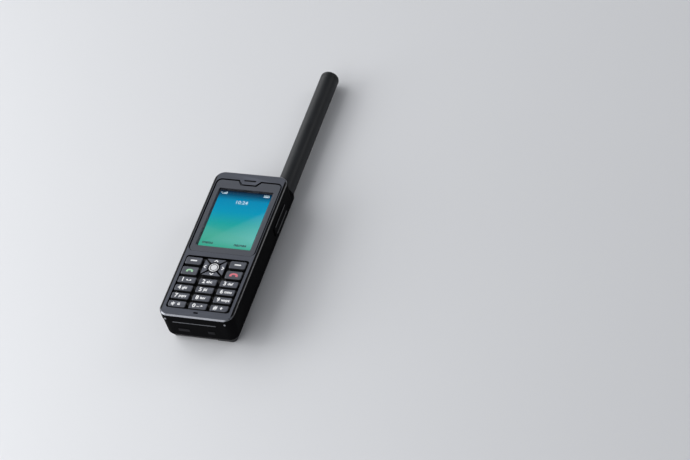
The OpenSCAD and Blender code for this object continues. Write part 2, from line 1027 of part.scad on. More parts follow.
module battery_cover() {
    color("Black")
        difference() {
            union() {
                box([cover_left, cover_bottom, 0], [cover_right, cover_top, cover_thick]);
                box([cover_left - cover_tongue, cover_bottom, cover_lip + 2 * fit_gap],
                    [cover_right + cover_tongue, cover_top, cover_thick]);
            }
            for (i = [0 : 4])
                translate([bay_mid, cover_top - rib_drop - i * rib_pitch, -1])
                    linear_extrude(rib_depth + 1)
                        rounded(rib_length, rib_width, rib_width / 2 - fit_gap);
        }
}

module sim_holder() {
    half = sim_width / 2 + sim_gap;
    color("Silver")
        difference() {
            box([bay_mid - half - sim_shell, sim_bottom,
                bay_ceiling - sim_thick - 2 * sim_gap - 2 * sim_shell],
                [bay_mid + half + sim_shell, sim_top, bay_ceiling]);
            box([bay_mid - half, sim_bottom - 1, bay_ceiling - sim_thick - 2 * sim_gap - sim_shell],
                [bay_mid + half, sim_top - sim_shell, bay_ceiling - sim_shell]);
        }
}

module sim_card() {
    color("White")
        box([bay_mid - sim_width / 2, sim_top - sim_shell - sim_gap - sim_length,
            bay_ceiling - sim_shell - sim_gap - sim_thick],
            [bay_mid + sim_width / 2, sim_top - sim_shell - sim_gap, bay_ceiling - sim_shell - sim_gap]);
}

// Antenna

module antenna_tube() {
    color("Black")
        difference() {
            along_y(antenna_x, antenna_foot_y + foot_length, antenna_tip - cap_length, antenna_z,
                antenna_radius);
            along_y(antenna_x, antenna_foot_y, antenna_tip, antenna_z, antenna_radius - tube_wall);
        }
}

module antenna_cap() {
    color("Black")
        translate([antenna_x, antenna_tip - cap_length, antenna_z])
            rotate([-90, 0, 0]) {
                rotate_extrude()
                    union() {
                        square([antenna_radius - cap_round, cap_length]);
                        square([antenna_radius, cap_length - cap_round]);
                        translate([antenna_radius - cap_round, cap_length - cap_round])
                            intersection() {
                                circle(cap_round);
                                square(cap_round + 1);
                            }
                    }
                translate([0, 0, -cap_plug])
                    cylinder(r = antenna_radius - tube_wall - fit_gap, h = cap_plug + 0.5);
            }
}

module antenna_core() {
    color("Peru")
        difference() {
            union() {
                along_y(antenna_x, antenna_foot_y + foot_length / 2,
                    antenna_tip - cap_length - cap_plug - 1, antenna_z,
                    antenna_radius - tube_wall - fit_gap);
                along_y(antenna_x, antenna_foot_y, antenna_foot_y + foot_length, antenna_z,
                    antenna_radius - 2 * fit_gap);
            }
            along_y(antenna_x, antenna_foot_y + core_plug, antenna_tip, antenna_z,
                antenna_radius - 2 * tube_wall);
        }
}

module antenna_collar() {
    color("Goldenrod")
        difference() {
            along_y(antenna_x, bush_bottom - collar_length - 2 * fit_gap, bush_bottom - 2 * fit_gap,
                antenna_z,
                bore_radius - fit_gap);
            along_y(antenna_x, antenna_foot_y, antenna_tip, antenna_z, antenna_radius + skin);
        }
}

module antenna_bush() {
    color("Gray")
        difference() {
            union() {
                along_y(antenna_x, bush_bottom, barrel_end + 0.5, antenna_z, antenna_radius + bush_wall);
                along_y(antenna_x, barrel_end, barrel_end + bush_proud, antenna_z,
                    antenna_radius + bush_wall + bush_rim);
            }
            along_y(antenna_x, antenna_foot_y, antenna_tip, antenna_z, antenna_radius + fit_gap);
        }
}

module antenna_contact() {
    color("Goldenrod")
        difference() {
            box([antenna_x - contact_half, half_length - contact_drop - contact_length,
                antenna_z + bore_radius - contact_depth],
                [antenna_x + contact_half, half_length - contact_drop, pcb_bottom]);
            along_y(antenna_x, 0, antenna_tip, antenna_z, bore_radius + fit_gap);
        }
}

// Side pieces

module volume_rocker() {
    color("DimGray")
        difference() {
            box([-rocker_outer, rocker_y - rocker_length / 2, rocker_z - rocker_height / 2],
                [-rocker_inner, rocker_y + rocker_length / 2, rocker_z + rocker_height / 2]);
            translate([-rocker_pin_x, rocker_y, 0])
                cylinder(r = rocker_pin_radius + fit_gap, h = body_depth);
        }
}

module volume_pin() {
    color("Silver")
        translate([-rocker_pin_x, rocker_y, rocker_z - rocker_height / 2 - rocker_pin_grip])
            cylinder(r = rocker_pin_radius, h = rocker_height + 2 * rocker_pin_grip);
}

module port_cover() {
    color("DarkSlateGray") {
        translate([0, 0, port_low])
            linear_extrude(port_high - port_low)
                union() {
                    translate([port_back, port_hinge_y])
                        square([port_face - port_back, port_top - port_hinge_y]);
                    translate([port_hinge_x, port_hinge_y])
                        circle(port_knuckle);
                }
        for (z = [port_low, port_high - ridge_width])
            box([port_face - ridge_rise / 2, port_hinge_y + ridge_start, z],
                [port_face + ridge_rise, port_top - ridge_end, z + ridge_width]);
    }
}

front_case();
rear_case();
case_seal();
case_screws();
dock_contacts();
display_lens();
lens_tape();
lcd_panel();
lcd_frame();
earpiece_mesh();
earpiece();
microphone();
mic_boot();
loudspeaker();
speaker_mesh();
keymat();
dome_sheet();
soft_left();
soft_right();
call_key();
end_key();
key_1();
key_2();
key_3();
key_4();
key_5();
key_6();
key_7();
key_8();
key_9();
key_star();
key_0();
key_hash();
nav_right();
nav_up();
nav_left();
nav_down();
nav_select();
main_pcb();
shield_cans();
vibration_motor();
gps_patch();
volume_switches();
headset_jack();
usb_socket();
battery_pack();
battery_contacts();
battery_cover();
sim_holder();
sim_card();
antenna_tube();
antenna_cap();
antenna_core();
antenna_collar();
antenna_bush();
antenna_contact();
volume_rocker();
volume_pin();
port_cover();
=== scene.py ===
"""Looks of a handheld satellite phone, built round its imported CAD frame."""

import math

import bmesh
import bpy
from mathutils import Matrix, Vector


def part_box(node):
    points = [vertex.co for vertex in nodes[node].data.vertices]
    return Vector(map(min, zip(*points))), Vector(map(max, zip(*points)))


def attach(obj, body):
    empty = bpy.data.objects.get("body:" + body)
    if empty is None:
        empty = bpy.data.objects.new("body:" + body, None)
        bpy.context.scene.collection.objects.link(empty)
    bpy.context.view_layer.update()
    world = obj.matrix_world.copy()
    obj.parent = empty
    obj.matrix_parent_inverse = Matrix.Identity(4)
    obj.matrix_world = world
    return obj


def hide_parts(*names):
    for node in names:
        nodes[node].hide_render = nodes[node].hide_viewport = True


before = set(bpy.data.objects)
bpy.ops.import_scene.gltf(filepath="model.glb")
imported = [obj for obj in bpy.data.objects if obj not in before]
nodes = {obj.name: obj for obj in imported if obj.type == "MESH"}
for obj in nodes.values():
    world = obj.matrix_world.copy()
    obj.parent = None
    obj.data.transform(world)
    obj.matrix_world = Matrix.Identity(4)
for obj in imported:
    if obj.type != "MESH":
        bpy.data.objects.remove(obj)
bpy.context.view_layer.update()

# A millimetre, in metres
MM = 0.001
# Angles in degrees from which shading turns crisp, on pieces with flat and with round sides
CREASE = 32.0
ROUND_CREASE = 40.0
# Angles in degrees from which an edge is rounded
SHALLOW_EDGE = 18.0
ANY_EDGE = 25.0
SHARP_EDGE = 40.0
# Faces that differ by less than this many degrees are one flat face
FLAT_ANGLE = 0.6
# Points of a CAD node nearer than this, in millimetres, are one point
JOIN_GAP = 0.002
# Least radius of a ring's corner, in millimetres
LEAST_RADIUS = 0.02


# Small helpers


def mm_box(node):
    """Lowest and highest corner of a CAD node, in millimetres."""
    low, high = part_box(node)
    return [v / MM for v in low], [v / MM for v in high]


def span(low, high, axis):
    """Middle and half length of a box along one axis."""
    return (low[axis] + high[axis]) / 2, (high[axis] - low[axis]) / 2


def link(name, data):
    """A new object in the scene for a mesh, curve, lamp or camera."""
    piece = bpy.data.objects.new(name, data)
    bpy.context.scene.collection.objects.link(piece)
    return piece


def smooth(piece, angle=CREASE):
    """Smooth shading with crisp edges where faces meet at more than the angle."""
    mesh = piece.data
    for face in mesh.polygons:
        face.use_smooth = True
    mesh.set_sharp_from_angle(angle=math.radians(angle))
    normals = piece.modifiers.new("Even normals", "WEIGHTED_NORMAL")
    normals.keep_sharp = True
    return piece


def seat(piece, body, slot, *materials, stands_for=()):
    """Give a piece its body, materials and the nodes that it stands for. The slot is not used."""
    for material in materials:
        piece.data.materials.append(material)
    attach(piece, body)
    if stands_for:
        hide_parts(*stands_for)
    return piece


# Rings and outlines, in millimetres


def four(radii):
    """Four corner radii, given as four or as one for all."""
    return list(radii) if isinstance(radii, (list, tuple)) else [radii] * 4


def rounded_ring(cx, cy, half_x, half_y, radii, z, points=6):
    """A rounded rectangle, with the radii of its corners from lower right, anticlockwise."""
    signs_x, signs_y = (1, 1, -1, -1), (-1, 1, 1, -1)
    ring = []
    for k, radius in enumerate(four(radii)):
        r = max(radius, LEAST_RADIUS)
        for i in range(points):
            a = math.radians(-90 + 90 * k + 90 * i / (points - 1))
            x = cx + signs_x[k] * (half_x - r) + r * math.cos(a)
            y = cy + signs_y[k] * (half_y - r) + r * math.sin(a)
            ring.append((x, y, z))
    return ring


def circle_ring(cx, cy, radius, z, count=24):
    """A circle whose points start beside those of a rounded ring."""
    ring = []
    for i in range(count):
        a = math.radians(-90 + 360 * (i + 0.5) / count)
        ring.append((cx + radius * math.cos(a), cy + radius * math.sin(a), z))
    return ring


def round_over(top, roll, steps):
    """Pairs of inset and height along a quarter round that ends level with the top."""
    pairs = []
    for i in range(steps + 1):
        a = math.radians(90 * i / steps)
        pairs.append((roll * (1 - math.cos(a)), top - roll + roll * math.sin(a)))
    return pairs


def flat(ring):
    """The outline of a ring, without its height."""
    return [(x, y) for x, y, _ in ring]


def stood(ring, y):
    """A flat ring stood upright at a place along Y."""
    return [(x, y, z) for x, z, _ in ring]


def turned_rings(cx, cz, profile, count):
    """Rings round an axis along Y, from pairs of radius and place along Y."""
    return [stood(circle_ring(cx, cz, radius, 0.0, count), y) for radius, y in profile]


# Mesh building, in millimetres


def from_bmesh(name, bm):
    """Turn a bmesh in millimetres into an object in metres."""
    bmesh.ops.recalc_face_normals(bm, faces=bm.faces)
    bmesh.ops.scale(bm, vec=(MM, MM, MM), verts=bm.verts)
    mesh = bpy.data.meshes.new(name)
    bm.to_mesh(mesh)
    bm.free()
    return link(name, mesh)


def loft_into(bm, rings, closed=False):
    """Skin a row of rings with the same number of points, and cap its ends or join them."""
    rows = [[bm.verts.new(p) for p in ring] for ring in rings]
    count = len(rows[0])
    pairs = list(zip(rows, rows[1:]))
    if closed:
        pairs.append((rows[-1], rows[0]))
    for low, high in pairs:
        for i in range(count):
            j = (i + 1) % count
            bm.faces.new((low[i], low[j], high[j], high[i]))
    if not closed:
        bm.faces.new(list(reversed(rows[0])))
        bm.faces.new(rows[-1])


def loft(name, rings, closed=False):
    """An object skinned over rings."""
    bm = bmesh.new()
    loft_into(bm, rings, closed)
    return from_bmesh(name, bm)


def plate_into(bm, outline, low, high):
    """A flat plate with a plain outline, added to a bmesh."""
    bottom = [bm.verts.new((x, y, low)) for x, y in outline]
    top = [bm.verts.new((x, y, high)) for x, y in outline]
    count = len(outline)
    for i in range(count):
        j = (i + 1) % count
        bm.faces.new((bottom[i], bottom[j], top[j], top[i]))
    caps = [bm.faces.new(list(reversed(bottom))), bm.faces.new(top)]
    bmesh.ops.triangulate(bm, faces=caps)


def merge_flat(bm):
    """Merge faces that lie in one plane."""
    bmesh.ops.dissolve_limit(bm, angle_limit=math.radians(FLAT_ANGLE), verts=bm.verts, edges=bm.edges)


def copied(node):
    """A bmesh of a CAD node in millimetres, with split corners joined and flat faces merged."""
    bm = bmesh.new()
    bm.from_mesh(nodes[node].data)
    bmesh.ops.scale(bm, vec=(1 / MM, 1 / MM, 1 / MM), verts=bm.verts)
    bmesh.ops.remove_doubles(bm, verts=bm.verts, dist=JOIN_GAP)
    merge_flat(bm)
    for layer in list(bm.loops.layers.uv.values()):
        bm.loops.layers.uv.remove(layer)
    for edge in bm.edges:
        edge.smooth = True
    return bm


def soften(bm, width, segments=3, least=ANY_EDGE, where=None, coat=-1):
    """Round the edges of a bmesh that are sharper than the least angle.

    A test on the points of an edge can leave it out. The new faces get the material with the
    number of the coat, or that of the faces beside them.
    """
    chosen = []
    for edge in bm.edges:
        if len(edge.link_faces) != 2:
            continue
        if math.degrees(edge.calc_face_angle(0.0)) < least:
            continue
        if where and not all(where(v.co) for v in edge.verts):
            continue
        chosen.append(edge)
    bmesh.ops.bevel(bm, geom=chosen, offset=width, offset_type="OFFSET", segments=segments,
                    profile=0.5, affect="EDGES", clamp_overlap=True, material=coat)


def plain_mesh(piece):
    """Drop what a copied mesh brings along from the frame."""
    for name in ("custom_normal", "sharp_face"):
        if name in piece.data.attributes:
            piece.data.attributes.remove(piece.data.attributes[name])


def dressed(node, width, segments=3, least=ANY_EDGE, where=None, coat=-1):
    """A softened copy of a CAD node."""
    bm = copied(node)
    soften(bm, width, segments, least, where, coat)
    piece = from_bmesh("dressed_" + node, bm)
    plain_mesh(piece)
    return smooth(piece)


# Shader nodes

# The range in which most of a noise lies
NOISE_SPAN = (0.3, 0.7)


def shader_of(name):
    """A new material with its node tree, its shader and the object's own coordinates."""
    material = bpy.data.materials.new(name)
    material.use_nodes = True
    tree = material.node_tree
    coords = tree.nodes.new("ShaderNodeTexCoord")
    return material, tree, tree.nodes["Principled BSDF"], coords.outputs["Object"]


def set_inputs(node, values):
    """Set plain values on the inputs of a node."""
    for name, value in values.items():
        node.inputs[name].default_value = value


def noise(tree, coords, scale, detail):
    """Noise over coordinates."""
    node = tree.nodes.new("ShaderNodeTexNoise")
    set_inputs(node, {"Scale": scale, "Detail": detail})
    tree.links.new(coords, node.inputs["Vector"])
    return node.outputs["Fac"]


def spread_of(tree, source, low, high, low_out, high_out):
    """Carry a value from one range into another."""
    node = tree.nodes.new("ShaderNodeMapRange")
    set_inputs(node, {"From Min": low, "From Max": high, "To Min": low_out, "To Max": high_out})
    tree.links.new(source, node.inputs["Value"])
    return node.outputs["Result"]


def math_of(tree, operation, *values):
    """One step of arithmetic on numbers or outputs."""
    node = tree.nodes.new("ShaderNodeMath")
    node.operation = operation
    for socket, value in zip(node.inputs, values):
        if isinstance(value, float):
            socket.default_value = value
        else:
            tree.links.new(value, socket)
    return node.outputs["Value"]


def blend_of(tree, factor, first, second):
    """Blend two colours or colour outputs."""
    node = tree.nodes.new("ShaderNodeMix")
    node.data_type = "RGBA"
    for socket, value in ((node.inputs[6], first), (node.inputs[7], second)):
        if isinstance(value, (tuple, list)):
            socket.default_value = (*value, 1.0)
        else:
            tree.links.new(value, socket)
    tree.links.new(factor, node.inputs[0])
    return node.outputs[2]


def bump_of(tree, shader, height, strength, distance):
    """Raise the surface by an output, with the distance in millimetres."""
    node = tree.nodes.new("ShaderNodeBump")
    set_inputs(node, {"Strength": strength, "Distance": distance * MM})
    tree.links.new(height, node.inputs["Height"])
    tree.links.new(node.outputs["Normal"], shader.inputs["Normal"])


def shades(colour, share):
    """A darker and a lighter tone of a colour."""
    return [c * (1 - share) for c in colour], [min(c * (1 + share), 1.0) for c in colour]


# Materials


def moulded(name, colour, rough, grain, height, patch, wear_and_highlight=0.0, metallic=0.0, coat=0.0, specular=0.5):
    """Moulded or painted surface: uneven tone and gloss, a fine grain, and paler edges, partly rubbed
    wear and partly painted highlight.

    The grain and its height are in millimetres. Patch and the share of paler edges are shares of the
    tone.
    """
    material, tree, shader, coords = shader_of(name)
    cloud = noise(tree, coords, 55.0, 4.0)
    fine = noise(tree, coords, 1000.0 / grain, 2.0)
    tone = blend_of(tree, spread_of(tree, cloud, *NOISE_SPAN, 0.0, 1.0), *shades(colour, patch))
    speck = [c * 1.35 for c in colour]
    tone = blend_of(tree, spread_of(tree, fine, 0.55, 0.8, 0.0, 0.6), tone, speck)
    # Convex edges turn paler: part rubbed wear, part a painted highlight that stands in for light
    # caught on edges
    if wear_and_highlight:
        point = tree.nodes.new("ShaderNodeNewGeometry")
        edge = spread_of(tree, point.outputs["Pointiness"], 0.52, 0.6, 0.0, wear_and_highlight)
        uneven = spread_of(tree, cloud, 0.35, 0.65, 0.4, 1.0)
        rubbed_and_lit = [min(c * 2.2 + 0.02, 0.8) for c in colour]
        tone = blend_of(tree, math_of(tree, "MULTIPLY", edge, uneven), tone, rubbed_and_lit)
    gloss = spread_of(tree, cloud, *NOISE_SPAN, rough - 0.05, rough + 0.05)
    tree.links.new(tone, shader.inputs["Base Color"])
    tree.links.new(gloss, shader.inputs["Roughness"])
    bump_of(tree, shader, fine, 0.5, height)
    set_inputs(shader, {"Metallic": metallic, "Specular IOR Level": specular, "Coat Weight": coat,
                        "Coat Roughness": 0.12})
    return material


def brushed(name, colour, rough, along="X", streak=0.25):
    """Metal with fine drawn lines along one axis."""
    material, tree, shader, coords = shader_of(name)
    mapping = tree.nodes.new("ShaderNodeMapping")
    set_inputs(mapping, {"Scale": [40.0 if axis == along else 2500.0 for axis in "XYZ"]})
    tree.links.new(coords, mapping.inputs["Vector"])
    lines = noise(tree, mapping.outputs["Vector"], 1.0, 2.0)
    tone = blend_of(tree, lines, *shades(colour, streak))
    gloss = spread_of(tree, lines, *NOISE_SPAN, rough - 0.06, rough + 0.08)
    tree.links.new(tone, shader.inputs["Base Color"])
    tree.links.new(gloss, shader.inputs["Roughness"])
    bump_of(tree, shader, lines, 0.25, 0.01)
    set_inputs(shader, {"Metallic": 1.0})
    return material


def perforated(name, solid, hole_shade, pitch):
    """Fine woven mesh of small round holes, with their pitch in millimetres; the holes get a dark tone
    as painted shade.
    """
    material, tree, shader, coords = shader_of(name)
    cells = tree.nodes.new("ShaderNodeTexVoronoi")
    set_inputs(cells, {"Scale": 1000.0 / pitch, "Randomness": 0.0})
    tree.links.new(coords, cells.inputs["Vector"])
    rim = spread_of(tree, cells.outputs["Distance"], 0.3, 0.42, 0.0, 1.0)
    tree.links.new(blend_of(tree, rim, hole_shade, solid), shader.inputs["Base Color"])
    tree.links.new(rim, shader.inputs["Metallic"])
    bump_of(tree, shader, rim, 0.8, 0.08)
    set_inputs(shader, {"Roughness": 0.45})
    return material


def glossy_print(name, colour, patch=0.05):
    """Colour printed behind clear plastic: slow changes of tone under a gloss with faint smears."""
    material, tree, shader, coords = shader_of(name)
    cloud = noise(tree, coords, 30.0, 2.0)
    smear = noise(tree, coords, 120.0, 3.0)
    tone = blend_of(tree, cloud, *shades(colour, patch))
    gloss = spread_of(tree, smear, *NOISE_SPAN, 0.42, 0.58)
    tree.links.new(tone, shader.inputs["Base Color"])
    tree.links.new(gloss, shader.inputs["Roughness"])
    set_inputs(shader, {"Coat Roughness": 0.07, "Specular IOR Level": 0.3, "Coat Weight": 0.4})
    return material


def clear_pane(name):
    """Clear window of the lens, with a little uneven gloss from handling."""
    material, tree, shader, coords = shader_of(name)
    smear = noise(tree, coords, 90.0, 5.0)
    tree.links.new(spread_of(tree, smear, 0.45, 0.75, 0.0, 0.03), shader.inputs["Roughness"])
    set_inputs(shader, {"Base Color": (0.97, 0.98, 1.0, 1.0), "Transmission Weight": 1.0, "IOR": 1.13})
    return material


# Paint and black plastic of the cases
grey_paint = moulded("grey_paint", (0.055, 0.061, 0.079), 0.5, 0.25, 0.012, 0.06,
                     wear_and_highlight=0.3, specular=0.3)
# Brighter, more metallic copy of the face paint for the rim, so its edge highlight is stronger: a
# painted highlight
rim_paint_highlight = moulded("rim_paint_highlight", (0.165, 0.173, 0.195), 0.3, 0.25, 0.008, 0.06,
                    metallic=0.62, coat=0.5)
black_shell = moulded("black_shell", (0.0045, 0.0045, 0.005), 0.52, 0.45, 0.05, 0.15, specular=0.01)
# Paler coat on the rounded outer edges of the rear case and battery cover: a painted highlight along
# the edges
edge_highlight_black = moulded("edge_highlight_black", (0.020, 0.020, 0.0215), 0.42, 0.4, 0.02, 0.25, specular=0.1)
back_shell = moulded("back_shell", (0.011, 0.011, 0.012), 0.55, 0.5, 0.08, 0.15, specular=0.15)
rail_skin = moulded("rail_skin", (0.005, 0.005, 0.0056), 0.45, 0.35, 0.03, 0.12, specular=0.06)
# Paler coat for the edge where each rail's slope meets the side: a painted highlight
rail_edge_highlight = moulded("rail_edge_highlight", (0.055, 0.057, 0.063), 0.4, 0.3, 0.01, 0.15, coat=0.4)
antenna_skin = moulded("antenna_skin", (0.0135, 0.0150, 0.0170), 0.45, 0.3, 0.025, 0.1,
                       wear_and_highlight=0.3, specular=0.2)

# Keys and their ink
key_cap = moulded("key_cap", (0.061, 0.066, 0.082), 0.48, 0.22, 0.01, 0.05, wear_and_highlight=0.4, specular=0.3)
# Dark coat for the sides of keys, standing in for the shade in the gaps between them (painted shade),
# and for the dark rim of the middle key
dark_rim_and_side_shade = moulded("dark_rim_and_side_shade", (0.008, 0.008, 0.009), 0.5, 0.3, 0.02, 0.15, specular=0.3)
key_mat = moulded("key_mat", (0.010, 0.010, 0.0115), 0.62, 0.3, 0.03, 0.2)
silver_disc = moulded("silver_disc", (0.70, 0.71, 0.73), 0.35, 0.2, 0.006, 0.05,
                      metallic=0.2, coat=0.4)
white_ink = moulded("white_ink", (0.80, 0.81, 0.82), 0.55, 0.3, 0.004, 0.03)
green_ink = moulded("green_ink", (0.32, 0.58, 0.36), 0.5, 0.3, 0.004, 0.05)
red_ink = moulded("red_ink", (0.66, 0.15, 0.19), 0.5, 0.3, 0.004, 0.05)

# Lens and the surround of the display
lens_print = glossy_print("lens_print", (0.055, 0.061, 0.076))
# Dark coat for the outer sides of the lens border, down in the gap round it: painted shade
lens_side_shade = moulded("lens_side_shade", (0.004, 0.0042, 0.005), 0.6, 0.3, 0.01, 0.1, specular=0.05)
# Lighter copy of the lens print for the slope round the window, brightened against the shade it faces:
# painted light
window_slope_lit = moulded("window_slope_lit", (0.078, 0.084, 0.100), 0.5, 0.3, 0.01, 0.1, specular=0.2)
# Darker copy of that slope coat for its top stretch: painted shade
window_top_shade = moulded("window_top_shade", (0.024, 0.025, 0.030), 0.5, 0.3, 0.01, 0.1, specular=0.1)
pane_glass = clear_pane("pane_glass")
panel_edge = moulded("panel_edge", (0.010, 0.010, 0.012), 0.5, 0.4, 0.01, 0.1)

# Rubber
side_rubber = moulded("side_rubber", (0.003, 0.003, 0.0034), 0.5, 0.35, 0.04, 0.15,
                      wear_and_highlight=0.4, specular=0.006)
# Paler rubber for the rib tops of the side cover: a painted highlight
rib_highlight_rubber = moulded("rib_highlight_rubber", (0.055, 0.055, 0.058), 0.45, 0.35, 0.03, 0.15,
                     wear_and_highlight=0.6, specular=0.15)
rocker_rubber = moulded("rocker_rubber", (0.007, 0.007, 0.0075), 0.55, 0.3, 0.03, 0.15,
                        wear_and_highlight=0.6, specular=0.06)
soft_rubber = moulded("soft_rubber", (0.009, 0.009, 0.0095), 0.7, 0.25, 0.03, 0.15)

# Metal and mesh
steel = brushed("steel", (0.55, 0.55, 0.57), 0.28)
dull_nickel = brushed("dull_nickel", (0.02, 0.02, 0.0225), 0.45)
gold = brushed("gold", (0.83, 0.60, 0.25), 0.25, "Z", 0.12)
trim_line = brushed("trim_line", (0.18, 0.185, 0.20), 0.35, "X", 0.1)
stud_cap = brushed("stud_cap", (0.40, 0.41, 0.44), 0.35, "X", 0.1)
fine_mesh = perforated("fine_mesh", (0.016, 0.016, 0.018), (0.002, 0.002, 0.002), 0.32)
speaker_cloth = perforated("speaker_cloth", (0.03, 0.03, 0.03), (0.003, 0.003, 0.003), 0.4)

# Inner pieces
board_green = moulded("board_green", (0.02, 0.075, 0.035), 0.45, 0.5, 0.02, 0.25)
cell_wrap = moulded("cell_wrap", (0.115, 0.118, 0.125), 0.5, 0.4, 0.015, 0.06, wear_and_highlight=0.4)
card_white = moulded("card_white", (0.72, 0.72, 0.70), 0.5, 0.5, 0.01, 0.04)
ceramic = moulded("ceramic", (0.46, 0.40, 0.33), 0.6, 0.3, 0.02, 0.08)
former = moulded("former", (0.35, 0.34, 0.31), 0.55, 0.4, 0.02, 0.08)


# Display picture

DISPLAY_HALF = 18.9
DISPLAY_LOW = -1.8
DISPLAY_HIGH = 48.1
DISPLAY_MIDDLE = (DISPLAY_HIGH + DISPLAY_LOW) / 2
DISPLAY_RISE = (DISPLAY_HIGH - DISPLAY_LOW) / 2
# Place from foot to top, and colour
DISPLAY_STOPS = (
    (0.0, (0.040, 0.39, 0.255)),
    (0.2, (0.058, 0.42, 0.31)),
    (0.42, (0.014, 0.38, 0.36)),
    (0.64, (0.001, 0.315, 0.50)),
    (0.84, (0.001, 0.26, 0.47)),
    (0.93, (0.002, 0.08, 0.17)),
    (1.0, (0.004, 0.012, 0.03)),
)
# Start, slope, bend, share near the band's edge, share deep in it, reach, and colour
DISPLAY_BANDS = ((0.03, 0.72, -0.06, 0.10, 0.80, 0.75, (0.21, 0.60, 0.60)),
                 (0.36, -0.22, 0.02, 0.34, 0.05, 0.42, (0.10, 0.46, 0.36)))
# Where the soft edge of a band begins and ends
BAND_EDGE = (-0.025, 0.045)
# Height over which the bands fade out at the foot
BAND_FOOT = 0.14


def lit_panel(name):
    """Lit display: blue to mint with two soft slanting bands and a dark band along the top."""
    material, tree, shader, coords = shader_of(name)
    split = tree.nodes.new("ShaderNodeSeparateXYZ")
    tree.links.new(coords, split.inputs["Vector"])
    across = spread_of(tree, split.outputs["X"], -DISPLAY_HALF * MM, DISPLAY_HALF * MM, 0.0, 1.0)
    upward = spread_of(tree, split.outputs["Y"], DISPLAY_LOW * MM, DISPLAY_HIGH * MM, 0.0, 1.0)
    ramp = tree.nodes.new("ShaderNodeValToRGB")
    while len(ramp.color_ramp.elements) < len(DISPLAY_STOPS):
        ramp.color_ramp.elements.new(0.5)
    for element, (place, colour) in zip(ramp.color_ramp.elements, DISPLAY_STOPS):
        element.position = place
        element.color = (*colour, 1.0)
    tree.links.new(upward, ramp.inputs["Fac"])
    tone = ramp.outputs["Color"]
    foot = spread_of(tree, upward, 0.0, BAND_FOOT, 0.1, 1.0)
    for start, slope, bend, near, deep, reach, tint in DISPLAY_BANDS:
        rise = math_of(tree, "MULTIPLY_ADD", across, slope, start)
        curve = math_of(tree, "POWER", across, 2.0)
        bow = math_of(tree, "MULTIPLY_ADD", curve, bend, rise)
        gap = math_of(tree, "SUBTRACT", bow, upward)
        inside = spread_of(tree, gap, *BAND_EDGE, 0.0, 1.0)
        fade = spread_of(tree, gap, 0.0, reach, near, deep)
        share = math_of(tree, "MULTIPLY", inside, fade)
        tone = blend_of(tree, math_of(tree, "MULTIPLY", share, foot), tone, tint)
    tree.links.new(tone, shader.inputs["Emission Color"])
    set_inputs(shader, {"Emission Strength": 0.95, "Base Color": (0.004, 0.005, 0.006, 1.0),
                        "Roughness": 0.4, "Specular IOR Level": 0.0})
    return material


def glowing(name, colour, strength):
    """A sign on the lit display, with a faint unevenness like pixels."""
    material, tree, shader, coords = shader_of(name)
    dots = noise(tree, coords, 4000.0, 1.0)
    tone = blend_of(tree, dots, [c * 0.9 for c in colour], colour)
    tree.links.new(tone, shader.inputs["Emission Color"])
    set_inputs(shader, {"Emission Strength": strength, "Base Color": (0.02, 0.02, 0.02, 1.0)})
    return material


screen = lit_panel("screen")
pale_sign = glowing("pale_sign", (0.62, 0.80, 0.88), 0.9)
dark_sign = glowing("dark_sign", (0.004, 0.03, 0.04), 1.0)


# Cases

FACE = 27.0
SEAM = 20.4
RIM_LOW = 25.2
RIM_START = 61.5
RAIL_START = 24.5
RAIL_LOW = 25.9
RIB_SHOW = 0.2
# Where the outside of the rear case begins: its sides, its ends and its back
SIDE_START = 21.5
END_START = 59.0
BACK_REACH = 0.1
# Coats in the order of the materials: of the front case, the rear case and the battery cover
PAINT, BLACK, RAIL, RAIL_EDGE_HIGHLIGHT, RIM = range(5)
REAR_SIDE, REAR_BACK, REAR_EDGE_HIGHLIGHT = range(3)
COVER_EDGE_HIGHLIGHT = 1
# Sideways lean at which the rail, its edge and the side below it begin
RAIL_LEAN = 0.1
EDGE_LEAN = 0.45
SIDE_LEAN = 0.9
# Most lean along the phone on the rail, least upward share on the paint, and that of a level face
RAIL_TILT = 0.3
PAINT_RISE = 0.2
LEVEL = 0.97
# Upward share below which a face belongs to the textured back
BACK_RISE = -0.3


def crisp_borders(piece):
    """Keep the shading crisp where two coats meet."""
    mesh = piece.data
    coats = {}
    for face in mesh.polygons:
        for key in face.edge_keys:
            coats.setdefault(key, set()).add(face.material_index)
    for edge in mesh.edges:
        if len(coats.get(edge.key, ())) > 1:
            edge.use_edge_sharp = True


def face_rim(co):
    """Edges round the front face and its openings."""
    return co.z > RIM_LOW


def shell_rim(co):
    """Edges on the outside of the rear case."""
    return abs(co.x) > SIDE_START or abs(co.y) > END_START or co.z < BACK_REACH


def front_coat(middle, normal):
    """Which coat a face of the front case has."""
    lean = abs(normal.x)
    beside = abs(middle.x) > RAIL_START
    if beside and middle.z > RAIL_LOW and abs(normal.y) < RAIL_TILT and lean > RAIL_LEAN:
        if lean < EDGE_LEAN:
            return RAIL
        # The rail's outer edge gets the paler coat as a painted highlight
        return RAIL_EDGE_HIGHLIGHT if lean < SIDE_LEAN else BLACK
    if middle.z < RIM_LOW or normal.z < PAINT_RISE:
        return BLACK
    outside = beside or abs(middle.y) > RIM_START
    # The rim's chamfer gets the brighter rim coat as a painted highlight
    return RIM if outside and normal.z < LEVEL else PAINT


def front_case_piece():
    """Front case: painted face with a rounded rim and dark rails over black sides; the rim and the
    rails' outer edges get brighter coats as painted highlights.
    """
    piece = dressed("front_case", width=0.2, where=face_rim)
    seat(piece, "case", "front_plastic", grey_paint, black_shell, rail_skin, rail_edge_highlight, rim_paint_highlight,
         stands_for=("front_case",))
    for face in piece.data.polygons:
        face.material_index = front_coat(face.center / MM, face.normal)
    crisp_borders(piece)


